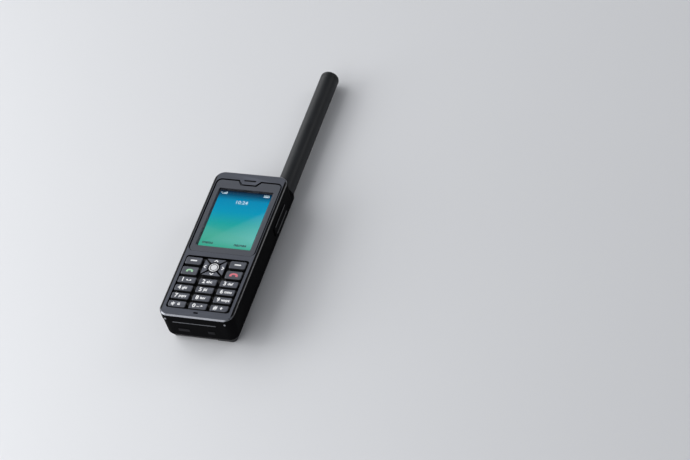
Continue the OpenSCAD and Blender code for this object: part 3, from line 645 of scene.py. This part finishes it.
def rear_case_piece():
    """Rear case: smooth black sides and a textured back, with paler rounded edges as a painted
    highlight.
    """
    piece = dressed("rear_case", width=0.35, least=SHALLOW_EDGE, where=shell_rim, coat=REAR_EDGE_HIGHLIGHT)
    seat(piece, "case", "rear_plastic", black_shell, back_shell, edge_highlight_black, stands_for=("rear_case",))
    for face in piece.data.polygons:
        if face.material_index != REAR_EDGE_HIGHLIGHT:
            face.material_index = REAR_BACK if face.normal.z < BACK_RISE else REAR_SIDE


def battery_cover_piece():
    """Battery cover: textured like the back, with paler rounded edges as a painted highlight."""
    piece = dressed("battery_cover", width=0.25, coat=COVER_EDGE_HIGHLIGHT)
    seat(piece, "battery_cover", "rear_plastic", back_shell, edge_highlight_black, stands_for=("battery_cover",))


def port_cover_piece():
    """Side cover: dark rubber with two ribs along it, whose tops get a paler coat as a painted
    highlight.
    """
    piece = dressed("port_cover", width=0.15)
    seat(piece, "port_cover", "side_plastic", side_rubber, rib_highlight_rubber, stands_for=("port_cover",))
    top = mm_box("port_cover")[1][0]
    for face in piece.data.polygons:
        # Rib tops get the paler coat: a painted highlight
        face.material_index = 1 if face.center.x / MM > top - RIB_SHOW else 0
    crisp_borders(piece)


front_case_piece()
rear_case_piece()
battery_cover_piece()
port_cover_piece()

# Node, body, slot, material, width of the rounding, its steps, and the least angle rounded
ONE_COAT = (
    ("volume_rocker", "volume_rocker", "black_rubber", rocker_rubber, 0.3, 3, ANY_EDGE),
    ("dock_contacts", "case", "gold_contact", dull_nickel, 0.12, 3, ANY_EDGE),
    ("case_screws", "case", "steel", steel, 0.12, 2, SHARP_EDGE),
    ("battery_pack", "case", "cell", cell_wrap, 0.5, 3, ANY_EDGE),
    ("usb_socket", "case", "steel", steel, 0.06, 2, SHARP_EDGE),
    ("headset_jack", "case", "black_rubber", soft_rubber, 0.1, 2, SHARP_EDGE),
)
for node, body, slot, material, width, segments, least in ONE_COAT:
    seat(dressed(node, width, segments, least), body, slot, material, stands_for=(node,))


# Bright line along the seam on the bottom end, and the studs over its ends

SEAM_LINE_LEFT = -17.0
SEAM_LINE_RIGHT = 14.0
SEAM_LINE_Z = SEAM - 0.42
SEAM_LINE_RISE = 0.36
SEAM_LINE_CORNER = 0.2
# Pairs of inset and place along Y
SEAM_LINE_PROFILE = ((0.0, -63.4), (0.0, -63.86), (0.06, -63.95), (0.12, -63.97))
STUD_X = (-21.5, 20.7)
STUD_Z = 22.5
STUD_POINTS = 20
# Pairs of radius and place along Y
STUD_PROFILE = ((0.75, -63.3), (0.75, -63.88), (0.66, -63.94), (0.4, -63.98), (0.1, -63.99))
# How much of an inset a corner's radius loses
CORNER_SHARE = 0.6


def seam_line():
    """Slim bright strip under the front case on the bottom end."""
    middle = (SEAM_LINE_RIGHT + SEAM_LINE_LEFT) / 2
    half = (SEAM_LINE_RIGHT - SEAM_LINE_LEFT) / 2
    rings = []
    for inset, y in SEAM_LINE_PROFILE:
        corner = SEAM_LINE_CORNER - inset * CORNER_SHARE
        ring = rounded_ring(middle, SEAM_LINE_Z, half - inset, SEAM_LINE_RISE - inset, corner, 0.0, 4)
        rings.append(stood(ring, y))
    return smooth(loft("seam_line", rings))


def end_studs():
    """Two small round studs over the ends of the seam line."""
    bm = bmesh.new()
    for cx in STUD_X:
        loft_into(bm, turned_rings(cx, STUD_Z, STUD_PROFILE, STUD_POINTS))
    return smooth(from_bmesh("end_studs", bm))


seat(seam_line(), "case", "front_plastic", trim_line)
seat(end_studs(), "case", "front_plastic", stud_cap)


# Display lens and panel

LENS_HALF = 24.0
LENS_LOW = -8.0
LENS_HIGH = 57.3
LENS_CORNER = 4.0
LENS_CORNER_POINTS = 8
LENS_BACK = 25.5
LENS_FRONT = 26.7
LENS_FILLET = 0.16
LENS_RIM_DEPTH = 0.1
LENS_GAP = 0.75
LENS_FOOT_GAP = 0.12
TAB_TOP = 7.7
TAB_LOW = 5.0
TAB_DEPTH = 3.7
WINDOW_MARGIN = 0.15
WINDOW_SLOPE = 1.1
WINDOW_OUTER = WINDOW_MARGIN + WINDOW_SLOPE
WINDOW_CORNER = 0.6
SLOPE_CORNER = 1.5
# Pairs of inset from the slope's upper edge and depth under the lens front
PANE_PROFILE = ((0.30, 0.5), (-0.02, 0.1))
PICTURE = 25.4
PICTURE_CORNER = 0.05
STEP_MARGIN = 0.1
PANEL_CORNER = 0.5
PANEL_CHAMFER = 0.1
# Coats of the lens border in the order of its materials: the print, then painted shade on the sides,
# painted light on the slope and painted shade on its top stretch
LENS_TOP, LENS_SIDE, SLOPE_SIDE, SLOPE_TOP = range(4)
# Shares of the normal below which a face is the slope, its top stretch or a side
SLOPE_RISE = 0.95
TOP_TILT = -0.4
SIDE_RISE = 0.5
# Millimetres within which places are the same, and by which the slope's coat stops short
SAME_PLACE = 1e-4
SLOPE_SHORT = 0.05


def lens_outline(inset, foot):
    """Outline of the lens with its notch below the earpiece, set in less at its foot."""
    low, high = LENS_LOW + foot, LENS_HIGH - inset
    points = flat(rounded_ring(0, (high + low) / 2, LENS_HALF - inset, (high - low) / 2,
                               LENS_CORNER - inset, 0, LENS_CORNER_POINTS))
    right = [(TAB_TOP + inset, high), (TAB_LOW + inset, high - TAB_DEPTH)]
    left = [(-x, y) for x, y in reversed(right)]
    half = 2 * LENS_CORNER_POINTS
    return points[:half] + right + left + points[half:]


def window_ring(margin, corner, z, points=4):
    """A ring round the picture, larger by a margin."""
    half_x, half_y = DISPLAY_HALF + margin, DISPLAY_RISE + margin
    return rounded_ring(0, DISPLAY_MIDDLE, half_x, half_y, corner, z, points)


def lens_rim(co):
    """Edges round the front of the lens."""
    return co.z > LENS_FRONT - LENS_RIM_DEPTH


def lens_coat(x, y, normal):
    """Which coat a face of the lens border has."""
    across = abs(x) < DISPLAY_HALF + WINDOW_OUTER - SLOPE_SHORT
    along = abs(y - DISPLAY_MIDDLE) < DISPLAY_RISE + WINDOW_OUTER - SLOPE_SHORT
    if across and along and normal.z < SLOPE_RISE:
        # The slope's top stretch gets painted shade, its other stretches painted light
        return SLOPE_TOP if normal.y < TOP_TILT else SLOPE_SIDE
    return LENS_SIDE if normal.z < SIDE_RISE else LENS_TOP


def lens_border():
    """Printed border of the lens, with a slope down to the open window; its sides and slope get
    painted shade and painted light.
    """
    bm = bmesh.new()
    outer = [bm.verts.new((x, y, LENS_BACK)) for x, y in lens_outline(LENS_GAP, LENS_FOOT_GAP)]
    ring = window_ring(WINDOW_MARGIN, WINDOW_CORNER, LENS_BACK)
    wide = window_ring(WINDOW_OUTER, SLOPE_CORNER, LENS_FRONT)
    inner = [bm.verts.new(p) for p in ring]
    edges = []
    for loop in (outer, inner):
        for i, vert in enumerate(loop):
            edges.append(bm.edges.new((vert, loop[(i + 1) % len(loop)])))
    filled = bmesh.ops.triangle_fill(bm, use_beauty=True, use_dissolve=False, edges=edges)
    faces = [f for f in filled["geom"] if isinstance(f, bmesh.types.BMFace)]
    raised = bmesh.ops.extrude_face_region(bm, geom=faces)
    top = [v for v in raised["geom"] if isinstance(v, bmesh.types.BMVert)]
    bmesh.ops.translate(bm, vec=(0, 0, LENS_FRONT - LENS_BACK), verts=top)
    for vert in top:
        for low, high in zip(ring, wide):
            if abs(vert.co.x - low[0]) < SAME_PLACE and abs(vert.co.y - low[1]) < SAME_PLACE:
                vert.co = high
                break
    merge_flat(bm)
    soften(bm, LENS_FILLET, 2, SHARP_EDGE, lens_rim)
    piece = smooth(from_bmesh("lens_border", bm))
    seat(piece, "case", "lens_glass", lens_print, lens_side_shade, window_slope_lit, window_top_shade,
         stands_for=("display_lens",))
    for face in piece.data.polygons:
        face.material_index = lens_coat(face.center.x / MM, face.center.y / MM, face.normal)


def lens_pane():
    """Clear window whose edge is let into the slope of the border."""
    rings = []
    for inset, depth in PANE_PROFILE:
        rings.append(window_ring(WINDOW_OUTER - inset, SLOPE_CORNER - inset, LENS_FRONT - depth))
    piece = smooth(loft("lens_pane", rings))
    seat(piece, "case", "lens_glass", pane_glass, stands_for=("display_lens",))


def panel_piece():
    """Display panel with its lit picture inside a black surround."""
    low, high = mm_box("lcd_panel")
    cx, half_x = span(low, high, 0)
    cy, half_y = span(low, high, 1)
    rings = []
    for inset, z in ((0.0, low[2]), (0.0, high[2] - PANEL_CHAMFER), (PANEL_CHAMFER, high[2])):
        rings.append(rounded_ring(cx, cy, half_x - inset, half_y - inset, PANEL_CORNER, z, 3))
    step = ((STEP_MARGIN, high[2]), (STEP_MARGIN, PICTURE - 0.08), (0.02, PICTURE), (0.0, PICTURE))
    rings += [window_ring(margin, PICTURE_CORNER, z, 3) for margin, z in step]
    piece = smooth(loft("lit_display", rings))
    seat(piece, "case", "panel", panel_edge, screen, stands_for=("lcd_panel",))
    biggest = max((f for f in piece.data.polygons if f.normal.z > 0.9), key=lambda f: f.area)
    biggest.material_index = 1


lens_border()
lens_pane()
panel_piece()
seat(dressed("earpiece_mesh", 0.1, 2), "case", "steel", fine_mesh, stands_for=("earpiece_mesh",))


# Signs and lettering

# Half the thickness of lettering
INK_HALF = 0.012
# Points of lettering nearer than this are one point
LETTER_GAP = 0.0005


def bar(cx, cy, half_x, half_y, radius):
    """Outline of a rounded bar."""
    return flat(rounded_ring(cx, cy, half_x, half_y, radius, 0, 4))


def block(left, low, right, high):
    """Outline of a plain rectangle."""
    return [(left, low), (right, low), (right, high), (left, high)]


def hollow_box(left, low, right, high, line):
    """Outlines of four strips round a rectangle."""
    return [block(left, low, right, low + line), block(left, high - line, right, high),
            block(left, low + line, left + line, high - line),
            block(right - line, low + line, right, high - line)]


def stroke(points, width):
    """Outline of a bent line of even width."""
    left, right = [], []
    for i, (x, y) in enumerate(points):
        before = Vector(points[max(i - 1, 0)])
        after = Vector(points[min(i + 1, len(points) - 1)])
        run = (after - before).normalized()
        side = Vector((-run.y, run.x)) * width / 2
        if 0 < i < len(points) - 1:
            first = (Vector((x, y)) - before).normalized()
            side *= 1.0 / max(abs(first.dot(run)), 0.5)
        left.append((x + side.x, y + side.y))
        right.append((x - side.x, y - side.y))
    return right + list(reversed(left))


def arc(radius_x, radius_y, start, end, steps):
    """Points along an arc between two angles in degrees."""
    points = []
    for i in range(steps + 1):
        a = math.radians(start + (end - start) * i / steps)
        points.append((radius_x * math.cos(a), radius_y * math.sin(a)))
    return points


def handset(half):
    """Outline of a telephone handset: an arched grip with a cup at each end."""
    grip = arc(half, half * 0.62, 180, 0, 12)
    right_cup = [(half, -0.34 * half), (half * 0.46, -0.34 * half), (half * 0.42, -0.06 * half)]
    hollow = arc(half * 0.44, half * 0.16, 10, 170, 8)
    left_cup = [(-x, y) for x, y in reversed(right_cup)]
    return grip + right_cup + hollow + left_cup


def shifted(outline, dx, dy):
    """An outline moved to another place."""
    return [(x + dx, y + dy) for x, y in outline]


def signs(name, outlines, low, high, body, material, slot):
    """Flat printed signs as one thin piece."""
    bm = bmesh.new()
    for outline in outlines:
        plate_into(bm, outline, low, high)
    return seat(from_bmesh(name, bm), body, slot, material)


def letter_mesh(text, size, x, y, bold):
    """A mesh of lettering in millimetres, left and middle aligned at x and y."""
    curve = bpy.data.curves.new("lettering", "FONT")
    curve.body = text
    curve.size = size
    curve.align_x = "LEFT"
    curve.align_y = "CENTER"
    curve.offset = bold
    curve.extrude = INK_HALF
    curve.resolution_u = 3
    holder = link("lettering", curve)
    bpy.context.view_layer.update()
    depsgraph = bpy.context.evaluated_depsgraph_get()
    mesh = bpy.data.meshes.new_from_object(holder.evaluated_get(depsgraph))
    bpy.data.objects.remove(holder)
    bpy.data.curves.remove(curve)
    mesh.transform(Matrix.Translation((x, y, 0)))
    return mesh


def lettering(name, texts, z, body, material, slot, outlines=()):
    """Printed lettering and signs as one thin piece whose middle lies at z."""
    bm = bmesh.new()
    for text, size, x, y, bold in texts:
        mesh = letter_mesh(text, size, x, y, bold)
        bm.from_mesh(mesh)
        bpy.data.meshes.remove(mesh)
    for outline in outlines:
        plate_into(bm, outline, -INK_HALF, INK_HALF)
    bmesh.ops.translate(bm, vec=(0, 0, z), verts=bm.verts)
    bmesh.ops.remove_doubles(bm, verts=bm.verts, dist=LETTER_GAP)
    return seat(from_bmesh(name, bm), body, slot, material)


# Keys

KEY_FILLET = 0.5
KEY_BASE = 24.66
STEM_RADIUS = 1.4
STEM_CHAMFER = 0.2
STEM_LIFT = 0.02
KEY_CORNER = 0.9
WIDE_KEY_CORNER = 1.1
# Share of an inset that a corner loses on the skirt under the cap
SKIRT_SHARE = 0.5
# Room left for ink under the top of a key's CAD box
INK_LIFT = 0.05
# Foot and top of signs, and middle of lettering, above a key's top
SIGN_FOOT = 0.002
SIGN_TOP = 0.03
LETTER_LIFT = 0.014
# Upward share from which a face of a key is painted; the sides below it get a dark coat as painted
# shade
TOP_RISE = 0.6


def shade_key_sides(piece):
    """Leave the paint on the top of a key only; its sides get a dark coat as painted shade."""
    for face in piece.data.polygons:
        face.material_index = 0 if face.normal.z > TOP_RISE else 1


def key_piece(node, radii):
    """A key cap with a rounded rim, on its stem. Returns the middle of its top."""
    low, high = mm_box(node)
    cx, half_x = span(low, high, 0)
    cy, half_y = span(low, high, 1)
    top = high[2] - INK_LIFT

    def cap_ring(inset, z, share):
        """A ring of the cap, set in from its sides."""
        corners = [r - inset * share for r in four(radii)]
        return rounded_ring(cx, cy, half_x - inset, half_y - inset, corners, z)

    foot = low[2] + STEM_LIFT
    stem = ((STEM_RADIUS - STEM_CHAMFER, foot), (STEM_RADIUS, foot + STEM_CHAMFER),
            (STEM_RADIUS, KEY_BASE - STEM_CHAMFER), (STEM_RADIUS + STEM_CHAMFER, KEY_BASE))
    skirt = ((0.3, KEY_BASE), (0.06, KEY_BASE + 0.12), (0.0, KEY_BASE + 0.4))
    rings = [circle_ring(cx, cy, radius, z) for radius, z in stem]
    rings += [cap_ring(inset, z, SKIRT_SHARE) for inset, z in skirt]
    rings += [cap_ring(inset, z, CORNER_SHARE) for inset, z in round_over(top, KEY_FILLET, 5)]
    rings.append(cap_ring(KEY_FILLET + 0.25, top, CORNER_SHARE))
    piece = smooth(loft("dressed_" + node, rings), ROUND_CREASE)
    seat(piece, node, "key_plastic", key_cap, dark_rim_and_side_shade, stands_for=(node,))
    shade_key_sides(piece)
    return cx, cy, top


def key_sign(node, outline, top, ink):
    """A sign printed on a key."""
    signs("ink_" + node, [outline], top + SIGN_FOOT, top + SIGN_TOP, node, ink, "key_plastic")


# Number keys

DIGIT_SIZE = 4.4
DIGIT_LEFT = 4.1
DIGIT_BOLD = 0.14
STAR_SIZE = 6.4
STAR_DROP = 1.5
LETTER_SIZE = 2.9
LETTER_LEFT = 0.9
LETTER_BOLD = 0.12
SIGN_LINE = 0.3
LETTERS = {"1": "", "2": "abc", "3": "def", "4": "ghi", "5": "jkl", "6": "mno", "7": "pqrs",
           "8": "tuv", "9": "wxyz", "*": "", "0": "   +", "#": ""}
MARK_KEYS = {"*": "key_star", "#": "key_hash"}
CORNERS = {"key_star": (0.9, 0.9, 0.9, 2.0), "key_hash": (2.0, 0.9, 0.9, 0.9)}
# Signs round the middle of a key: a tape with two reels, a padlock, a space bar and an arrow
KEY_SIGNS = {
    "key_1": (bar(0.1, -0.1, 0.62, 0.62, 0.6), bar(2.5, -0.1, 0.62, 0.62, 0.6),
              bar(1.3, -0.58, 1.2, 0.16, 0.1)),
    "key_star": (bar(1.3, -0.4, 0.9, 0.6, 0.15),
                 stroke([(0.7, 0.2), (0.8, 0.8), (1.3, 1.05), (1.8, 0.8), (1.9, 0.2)], SIGN_LINE)),
    "key_0": (stroke([(-0.7, 0.1), (-0.7, -0.6), (0.9, -0.6), (0.9, 0.1)], SIGN_LINE),),
    "key_hash": ([(0.95, 0), (0.95, -1.0), (1.85, -1.0), (1.85, 0), (2.6, 0), (1.4, 1.15), (0.2, 0)],),
}

for digit, letters in LETTERS.items():
    node = MARK_KEYS.get(digit, "key_" + digit)
    cx, cy, top = key_piece(node, CORNERS.get(node, KEY_CORNER))
    size, drop = (STAR_SIZE, STAR_DROP) if digit == "*" else (DIGIT_SIZE, 0.0)
    texts = [(digit, size, cx - DIGIT_LEFT, cy - drop, DIGIT_BOLD)]
    if letters:
        texts.append((letters, LETTER_SIZE, cx - LETTER_LEFT, cy, LETTER_BOLD))
    extra = [shifted(outline, cx, cy) for outline in KEY_SIGNS.get(node, ())]
    lettering("ink_" + node, texts, top + LETTER_LIFT, node, white_ink, "key_plastic", extra)


# Soft keys, call key and end key

SOFT_BAR = bar(0, 0, 2.3, 0.52, 0.25)
# Sign, its drop under the middle of the key, and its ink
WIDE_KEYS = {"soft_left": (SOFT_BAR, 0.0, white_ink),
             "soft_right": (SOFT_BAR, 0.0, white_ink),
             "call_key": (handset(2.5), 0.3, green_ink),
             "end_key": (handset(3.0), 0.3, red_ink)}

for node, (outline, drop, ink) in WIDE_KEYS.items():
    cx, cy, top = key_piece(node, WIDE_KEY_CORNER)
    key_sign(node, shifted(outline, cx, cy - drop), top, ink)


# Direction pad

NAV_TRIM = 0.22
NAV_WAYS = {"nav_right": (1, 0), "nav_left": (-1, 0), "nav_up": (0, 1), "nav_down": (0, -1)}
# Place of an arrow from the outer edge, half its length, half its width, and its line
ARROW_INSET = 1.61
ARROW_REACH = 0.62
ARROW_WING = 1.3
ARROW_LINE = 0.72
SELECT_POINTS = 48
SELECT_FILLET = 0.4
# Depth under the top of the CAD box at which the rim of the middle key ends
SELECT_DROP = 0.05
DISC_GAP = 0.6
# Pairs of inset from the disc's edge and depth under the top of the CAD box
DISC_PROFILE = ((0.0, 0.29), (0.0, 0.14), (0.06, 0.05), (0.2, 0.02), (0.6, 0.02), (0.65, 0.16),
                (1.1, 0.16), (1.15, 0.02))
DISC_HUB = 0.5
DISC_CROWN = 0.01
# Insets between which the groove is dark
GROOVE = (0.61, 1.14)


def above_face(co):
    """Edges that stand out of the front face."""
    return co.z > FACE


def nav_piece(node, way_x, way_y):
    """A quarter of the direction pad, drawn in a little from its CAD box, with its arrow."""
    low, high = mm_box(node)
    middle_x, half_x = span(low, high, 0)
    middle_y, half_y = span(low, high, 1)
    piece = dressed(node, width=0.35, segments=4, least=SHARP_EDGE, where=above_face)
    trim = (1 - NAV_TRIM / half_x, 1 - NAV_TRIM / half_y, 1 - INK_LIFT / (high[2] - low[2]))
    still = (middle_x, middle_y, low[2])
    for vert in piece.data.vertices:
        for k in range(3):
            vert.co[k] = still[k] * MM + (vert.co[k] - still[k] * MM) * trim[k]
    seat(piece, node, "key_plastic", key_cap, dark_rim_and_side_shade, stands_for=(node,))
    shade_key_sides(piece)
    cx = middle_x + way_x * (half_x - ARROW_INSET)
    cy = middle_y + way_y * (half_y - ARROW_INSET)
    line = []
    for reach, wing in ((-ARROW_REACH, ARROW_WING), (ARROW_REACH, 0.0), (-ARROW_REACH, -ARROW_WING)):
        line.append((cx + way_x * reach - way_y * wing, cy + way_y * reach + way_x * wing))
    key_sign(node, stroke(line, ARROW_LINE), high[2] - INK_LIFT, white_ink)


def select_pieces():
    """Round middle key: a dark rim round a bright disc with a turned groove."""
    low, high = mm_box("nav_select")
    cx, radius = span(low, high, 0)
    cy, _ = span(low, high, 1)
    top = high[2]
    rim = [(STEM_RADIUS - STEM_CHAMFER, low[2] + STEM_LIFT), (STEM_RADIUS, low[2] + STEM_CHAMFER),
           (STEM_RADIUS, KEY_BASE), (radius - 0.2, KEY_BASE), (radius, KEY_BASE + 0.24)]
    rim += [(radius - inset, z) for inset, z in round_over(top - SELECT_DROP, SELECT_FILLET, 5)]
    rim += [(radius - 0.5, top - SELECT_DROP), (radius - 0.55, top - 0.3)]
    rings = [circle_ring(cx, cy, reach, z, SELECT_POINTS) for reach, z in rim]
    piece = smooth(loft("dressed_nav_select", rings), ROUND_CREASE)
    seat(piece, "nav_select", "key_plastic", dark_rim_and_side_shade, stands_for=("nav_select",))
    disc = radius - DISC_GAP
    plate = [(disc - inset, top - depth) for inset, depth in DISC_PROFILE]
    plate.append((DISC_HUB, top - DISC_CROWN))
    rings = [circle_ring(cx, cy, reach, z, SELECT_POINTS) for reach, z in plate]
    piece = smooth(loft("select_disc", rings), ROUND_CREASE)
    seat(piece, "nav_select", "key_plastic", silver_disc, key_mat)
    for face in piece.data.polygons:
        inset = disc - math.hypot(face.center.x / MM - cx, face.center.y / MM - cy)
        face.material_index = 1 if GROOVE[0] < inset < GROOVE[1] else 0


for node, (way_x, way_y) in NAV_WAYS.items():
    nav_piece(node, way_x, way_y)
select_pieces()


# Signs on the display

SIGN_LOW = PICTURE + 0.01
SIGN_HIGH = PICTURE + 0.03
SIGN_CORNER = 0.08
SIGNAL_X = -16.6
SIGNAL_Y = DISPLAY_HIGH - 2.7
SIGNAL_PITCH = 0.95
SIGNAL_STEP = 0.22
BATTERY_Y = DISPLAY_HIGH - 2.4
BATTERY_CELLS = (14.2, 15.2, 16.2)
# Left, lower, right and upper side
BATTERY_BOX = (13.3, 45.0, 17.1, 47.0)
BATTERY_LINE = 0.25
AERIAL = ((-18.1, 46.7), (-17.6, 46.1), (-17.1, 46.7))
# Words, size, place and boldness
CLOCK = ("10:24", 4.2, -5.2, 38.4, 0.04)
SOFT_WORDS = (("menu", 3.5, -16.8, 1.5, 0.09), ("names", 3.5, 6.2, 1.5, 0.09))


def status_outlines():
    """Signal bars with an aerial on the left, and a battery on the right."""
    outlines = []
    for i in range(4):
        cx, step = SIGNAL_X + i * SIGNAL_PITCH, i * SIGNAL_STEP
        outlines.append(bar(cx, SIGNAL_Y + step, 0.32, 0.35 + step, SIGN_CORNER))
    outlines.append(stroke(AERIAL, SIGN_LINE))
    for cx in BATTERY_CELLS:
        outlines.append(bar(cx, BATTERY_Y, 0.36, 0.62, SIGN_CORNER))
    outlines += hollow_box(*BATTERY_BOX, BATTERY_LINE)
    outlines.append(bar(17.35, BATTERY_Y, 0.2, 0.4, SIGN_CORNER))
    return outlines


signs("display_status", status_outlines(), SIGN_LOW, SIGN_HIGH, "case", pale_sign, "panel")
lettering("display_clock", [CLOCK], SIGN_HIGH, "case", pale_sign, "panel")
lettering("display_softs", SOFT_WORDS, SIGN_HIGH, "case", dark_sign, "panel")


# Antenna

ANTENNA_POINTS = 64
TUBE_WALL = 1.0
TIP_ROLL = 2.6
GROOVE_DEPTH = 0.12
BUSH_PLAY = 0.05
BUSH_WALL = 0.68
BUSH_FLANGE = 0.7


def turned_piece(node, body, material, cx, cz, profile, closed=False):
    """A turned piece of the antenna or its guide, with its profile along Y."""
    rings = turned_rings(cx, cz, profile, ANTENNA_POINTS)
    piece = smooth(loft("dressed_" + node, rings, closed), ROUND_CREASE)
    seat(piece, body, "antenna_plastic", material, stands_for=(node,))


def antenna_pieces():
    """Antenna tube with a fine groove near its tip, its rounded cap, and its guide ring."""
    low, high = mm_box("antenna_tube")
    cx, radius = span(low, high, 0)
    cz, _ = span(low, high, 2)
    start, end = low[1], high[1]
    groove = radius - GROOVE_DEPTH
    bore = radius - TUBE_WALL
    tube = [(radius - 0.15, start), (radius, start + 0.15), (radius, end - 1.4), (groove, end - 1.3),
            (groove, end - 1.0), (radius, end - 0.9), (radius, end - 0.12), (groove, end),
            (bore, end), (bore, start)]
    turned_piece("antenna_tube", "antenna", antenna_skin, cx, cz, tube, closed=True)

    low, high = mm_box("antenna_cap")
    plug, tip = low[1], high[1]
    cap = [(radius - 1.3, plug), (radius - 1.07, plug + 0.25), (radius - 1.07, end - 0.02),
           (radius - 0.14, end + 0.03), (radius, end + 0.16)]
    cap += [(radius - inset, y) for inset, y in round_over(tip, TIP_ROLL, 8)]
    cap += [(1.4, tip), (0.3, tip)]
    turned_piece("antenna_cap", "antenna", antenna_skin, cx, cz, cap)

    low, high = mm_box("antenna_bush")
    _, rim = span(low, high, 0)
    foot, mouth = low[1], high[1]
    bore = radius + BUSH_PLAY
    wall = radius + BUSH_WALL
    flange = mouth - BUSH_FLANGE
    bush = [(bore + 0.15, foot), (wall, foot + 0.1), (wall, flange), (rim - 0.1, flange),
            (rim, flange + 0.12), (rim, mouth - 0.25), (rim - 0.08, mouth - 0.08), (rim - 0.25, mouth),
            (bore + 0.2, mouth), (bore, mouth - 0.2), (bore, foot)]
    turned_piece("antenna_bush", "case", black_shell, cx, cz, bush, closed=True)


antenna_pieces()


# Inner pieces keep their CAD shapes

INNER = (
    (steel, ("lcd_frame", "microphone", "dome_sheet", "shield_cans", "vibration_motor", "sim_holder",
             "antenna_collar", "volume_pin")),
    (soft_rubber, ("case_seal", "lens_tape", "mic_boot", "volume_switches")),
    (dull_nickel, ("earpiece", "loudspeaker")),
    (gold, ("battery_contacts", "antenna_contact")),
    (speaker_cloth, ("speaker_mesh",)),
    (key_mat, ("keymat",)),
    (board_green, ("main_pcb",)),
    (ceramic, ("gps_patch",)),
    (card_white, ("sim_card",)),
    (former, ("antenna_core",)),
)
for material, inner_nodes in INNER:
    for node in inner_nodes:
        nodes[node].data.materials.clear()
        nodes[node].data.materials.append(material)


# Floor and light, in metres and watts

FLOOR_REACH = 6.0
FLOOR_DROP = 0.0001


def floor_piece():
    """Pale floor under the phone."""
    bm = bmesh.new()
    bmesh.ops.create_grid(bm, x_segments=12, y_segments=12, size=FLOOR_REACH / MM)
    floor = from_bmesh("floor", bm)
    material, tree, shader, coords = shader_of("pale_floor")
    cloud = noise(tree, coords, 2.0, 2.0)
    tone = blend_of(tree, cloud, (0.66, 0.67, 0.69), (0.70, 0.71, 0.73))
    tree.links.new(tone, shader.inputs["Base Color"])
    set_inputs(shader, {"Roughness": 0.75, "Specular IOR Level": 0.2})
    floor.data.materials.append(material)
    floor.location.z = -FLOOR_DROP


def lamp(name, place, aim, width, height, power):
    """A soft box."""
    light = bpy.data.lights.new(name, "AREA")
    light.shape = "RECTANGLE"
    light.size = width
    light.size_y = height
    light.energy = power
    holder = link(name, light)
    holder.location = place
    holder.rotation_euler = (Vector(aim) - Vector(place)).to_track_quat("-Z", "Y").to_euler()
    holder.visible_camera = False


def world_light():
    """Even pale surroundings."""
    world = bpy.data.worlds.new("surroundings")
    bpy.context.scene.world = world
    world.use_nodes = True
    background = world.node_tree.nodes["Background"]
    set_inputs(background, {"Color": (0.93, 0.95, 1.0, 1.0), "Strength": 0.25})


floor_piece()
world_light()
lamp("key_light", (-2.0, 0.3, 1.9), (0.0, 0.02, 0.0), 2.2, 2.2, 34.0)
lamp("front_light", (-0.22, -0.66, 0.55), (0.0, -0.06, 0.02), 0.60, 0.50, 2.2)
lamp("corner_light", (-0.78, -0.30, 0.34), (0.0, -0.06, 0.02), 0.70, 0.46, 4.8)
lamp("left_light", (-1.25, 0.95, 0.62), (0.0, 0.05, 0.02), 2.0, 1.1, 12.0)
lamp("far_light", (0.95, 0.95, 0.75), (0.0, 0.05, 0.02), 0.5, 0.5, 2.2)


# Camera, placed as in the photo

# Rows point to the right, upward and backward in the picture
CAMERA_AXES = ((0.93965, 0.28465, -0.1898), (-0.09496, 0.74996, 0.65463), (0.32868, -0.5971, 0.73173))
CAMERA_PLACE = (0.64676, -1.00836, 1.29056)
FOCAL_PIXELS = 2600.0
PHOTO_WIDTH = 690
SENSOR = 36.0

camera_data = bpy.data.cameras.new("camera")
camera_data.sensor_fit = "HORIZONTAL"
camera_data.sensor_width = SENSOR
camera_data.lens = FOCAL_PIXELS * SENSOR / PHOTO_WIDTH
camera_data.clip_start = 0.01
camera = link("camera", camera_data)
turn = Matrix(CAMERA_AXES).transposed().to_4x4()
camera.matrix_world = Matrix.Translation(CAMERA_PLACE) @ turn
bpy.context.scene.camera = camera
bpy.context.scene.view_settings.view_transform = "Standard"
